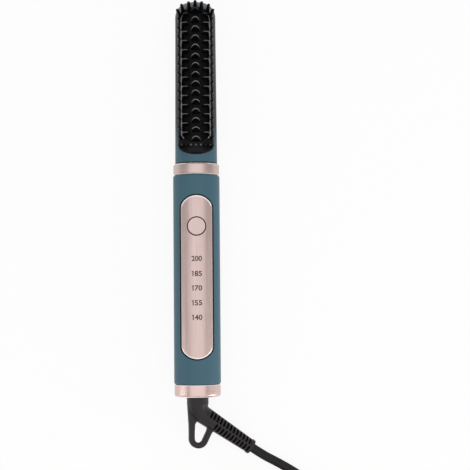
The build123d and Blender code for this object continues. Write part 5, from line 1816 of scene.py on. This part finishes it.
@dataclass
class TemperatureNumbers(Assembly):
    """The five temperatures, printed on the panel's curved face."""

    height: float = 3.8 * MM
    width: float = 7.45 * MM
    above: float = 0.06 * MM
    ink: float = 0.025 * MM
    boldness: float = 0.022
    thickness: float = 0.01
    curve_steps: int = 6
    one: tuple[Point, ...] = (
        (0.2, 0.0), (0.42, 0.0), (0.42, 1.0), (0.28, 1.0), (0.0, 0.85), (0.0, 0.71), (0.2, 0.81),
    )
    one_width: float = 1.35 * MM
    one_step: float = 2.1 * MM
    panel_half: float = 17.05 * MM
    places: tuple[tuple[str, float], ...] = (
        ("200", -44.0 * MM), ("185", -54.7 * MM), ("170", -64.9 * MM), ("155", -75.4 * MM),
        ("140", -85.7 * MM),
    )

    def build(self) -> None:
        """Make each number a thin sheet of ink on the face."""
        for words, y in self.places:
            number = self.digits(words.lstrip("1"))
            start = -self.width / 2
            if words[0] == "1":
                sheet = [[(*point, z) for point in self.one] for z in (0.0, self.thickness)]
                one = Bench.stack("one", sheet)
                self.lay(one, start, self.one_width, y)
                self.lay(number, start + self.one_step, self.width - self.one_step, y)
                number = Bench.join([number, one], "number")
            else:
                self.lay(number, start, self.width, y)
            number.name = number.data.name = "number_" + words
            settle(number, self.palette.ink, "body")

    def digits(self, words: str) -> Piece:
        """Write digits as a flat mesh with strong strokes.

        Args:
            words: the digits.

        Returns:
            The mesh.
        """
        Bench.clear()
        bpy.ops.object.text_add()
        text = bpy.context.active_object
        text.data.body = words
        text.data.resolution_u = self.curve_steps
        text.data.offset = self.boldness
        text.data.extrude = self.thickness / 2
        bpy.ops.object.convert(target="MESH")
        return bpy.context.active_object

    def lay(self, number: Piece, start: float, width: float, y: float) -> None:
        """Size a flat piece and lay it on the curved face.

        Args:
            number: the piece.
            start: where its left side comes, across the body.
            width: its width.
            y: where its middle comes, along the body.
        """
        spots = [vertex.co.copy() for vertex in number.data.vertices]
        left, right = min(spot.x for spot in spots), max(spot.x for spot in spots)
        low, high = min(spot.y for spot in spots), max(spot.y for spot in spots)
        base = min(spot.z for spot in spots)
        thick = max(spot.z for spot in spots) - base

        def move(spot: Vector) -> Vector:
            """Place of one vertex on the face."""
            x = start + (spot.x - left) / (right - left) * width
            along = y + (spot.y - (low + high) / 2) / (high - low) * self.height
            lift = self.above + self.ink * (spot.z - base) / thick
            return Vector((x, along, AXIS_Z + BODY.rise(self.panel_half, x) + lift))

        Bench.shape(number, move)


@dataclass
class Studio:
    """Camera, lights, paper and surroundings."""

    camera_place: Place = (3 * MM, -78.5 * MM, 980 * MM)
    camera_aim: Place = (27.65 * MM, -26.75 * MM, 15.3 * MM)
    camera_roll: float = 0.46
    lens: float = 102.6
    sensor: float = 36.0
    world_level: float = 0.5
    floor_size: float = 8.0
    lamps: tuple[tuple[str, Place, Point, float], ...] = (
        ("overhead", (0.0, -0.1, 1.6), (2.5, 2.5), 14.2),
        ("left_strip", (-0.9, -0.3, 0.2), (0.14, 0.8), 1.2),
        ("right_strip", (0.85, -0.46, 0.16), (0.14, 0.66), 3.6),
        ("far_card", (0.0, 1.25, 0.4), (1.2, 0.5), 2.2),
        ("near_card", (0.0, -1.45, 0.4), (1.2, 0.5), 2.2),
    )

    def build(self) -> None:
        """Set the whole studio."""
        self.camera()
        self.world()
        for lamp in self.lamps:
            self.lamp(*lamp)
        Bench.clear()
        bpy.ops.mesh.primitive_plane_add(size=self.floor_size)
        floor = bpy.context.active_object
        floor.name = floor.data.name = "studio_floor"
        dress(floor, StudioPaper().make())
        floor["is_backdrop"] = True

    def camera(self) -> None:
        """Put the camera where the photograph was taken from."""
        place = Vector(self.camera_place)
        backward = (place - Vector(self.camera_aim)).normalized()
        up = Vector((sin(radians(self.camera_roll)), cos(radians(self.camera_roll)), 0.0))
        right = up.cross(backward).normalized()
        turned = Matrix((right, backward.cross(right), backward)).transposed().to_4x4()
        data = bpy.data.cameras.new("photo_camera")
        data.lens = self.lens
        data.sensor_width = self.sensor
        camera = Bench.put("photo_camera", data)
        camera.matrix_world = Matrix.Translation(place) @ turned
        bpy.context.scene.camera = camera

    def lamp(self, name: str, place: Sequence[float], size: Point, power: float) -> None:
        """Hang one soft lamp, aimed at the brush.

        Args:
            name: its name.
            place: where it hangs.
            size: its width and length.
            power: its power in watts.
        """
        data = bpy.data.lights.new(name, "AREA")
        data.shape = "RECTANGLE"
        data.size, data.size_y = size
        data.energy = power
        lamp = Bench.put(name, data)
        lamp.location = place
        x, y, z = place
        aim = Vector((-x, 0.0, -z)) if x else Vector((0.0, -y, -z))
        lamp.rotation_euler = aim.to_track_quat("-Z", "Y").to_euler()

    def world(self) -> None:
        """Surround the scene with plain pale light."""
        world = bpy.data.worlds.new("pale_room")
        world.use_nodes = True
        ground = world.node_tree.nodes["Background"]
        ground.inputs["Color"].default_value = (1.0, 1.0, 1.0, 1.0)
        ground.inputs["Strength"].default_value = self.world_level
        bpy.context.scene.world = world
        bpy.context.scene.view_settings.view_transform = "Standard"


def spread(corners: Sequence[Sequence[float]]) -> list[list[float]]:
    """A box's corners as plain lists of numbers."""
    return [[float(size) for size in corner] for corner in corners]


def main() -> None:
    """Build the scene in order, measuring the model's box before and after without keeping it."""
    logging.basicConfig(level=logging.INFO, format="%(name)s %(message)s")
    packed_box = spread(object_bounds())
    Studio().build()
    palette = Palette()
    FrameDress(palette).apply()
    elbow = Relief(palette).build()
    plug = Plug(palette).build()
    Lead(palette).build([plug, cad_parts["plug_pins"], elbow])
    for assembly in (Panel, HeatedComb, GuardFrame, Dome, TemperatureNumbers):
        assembly(palette).build()
    {"packed": packed_box, "dressed": spread(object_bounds())}


if __name__ == "__main__":
    main()
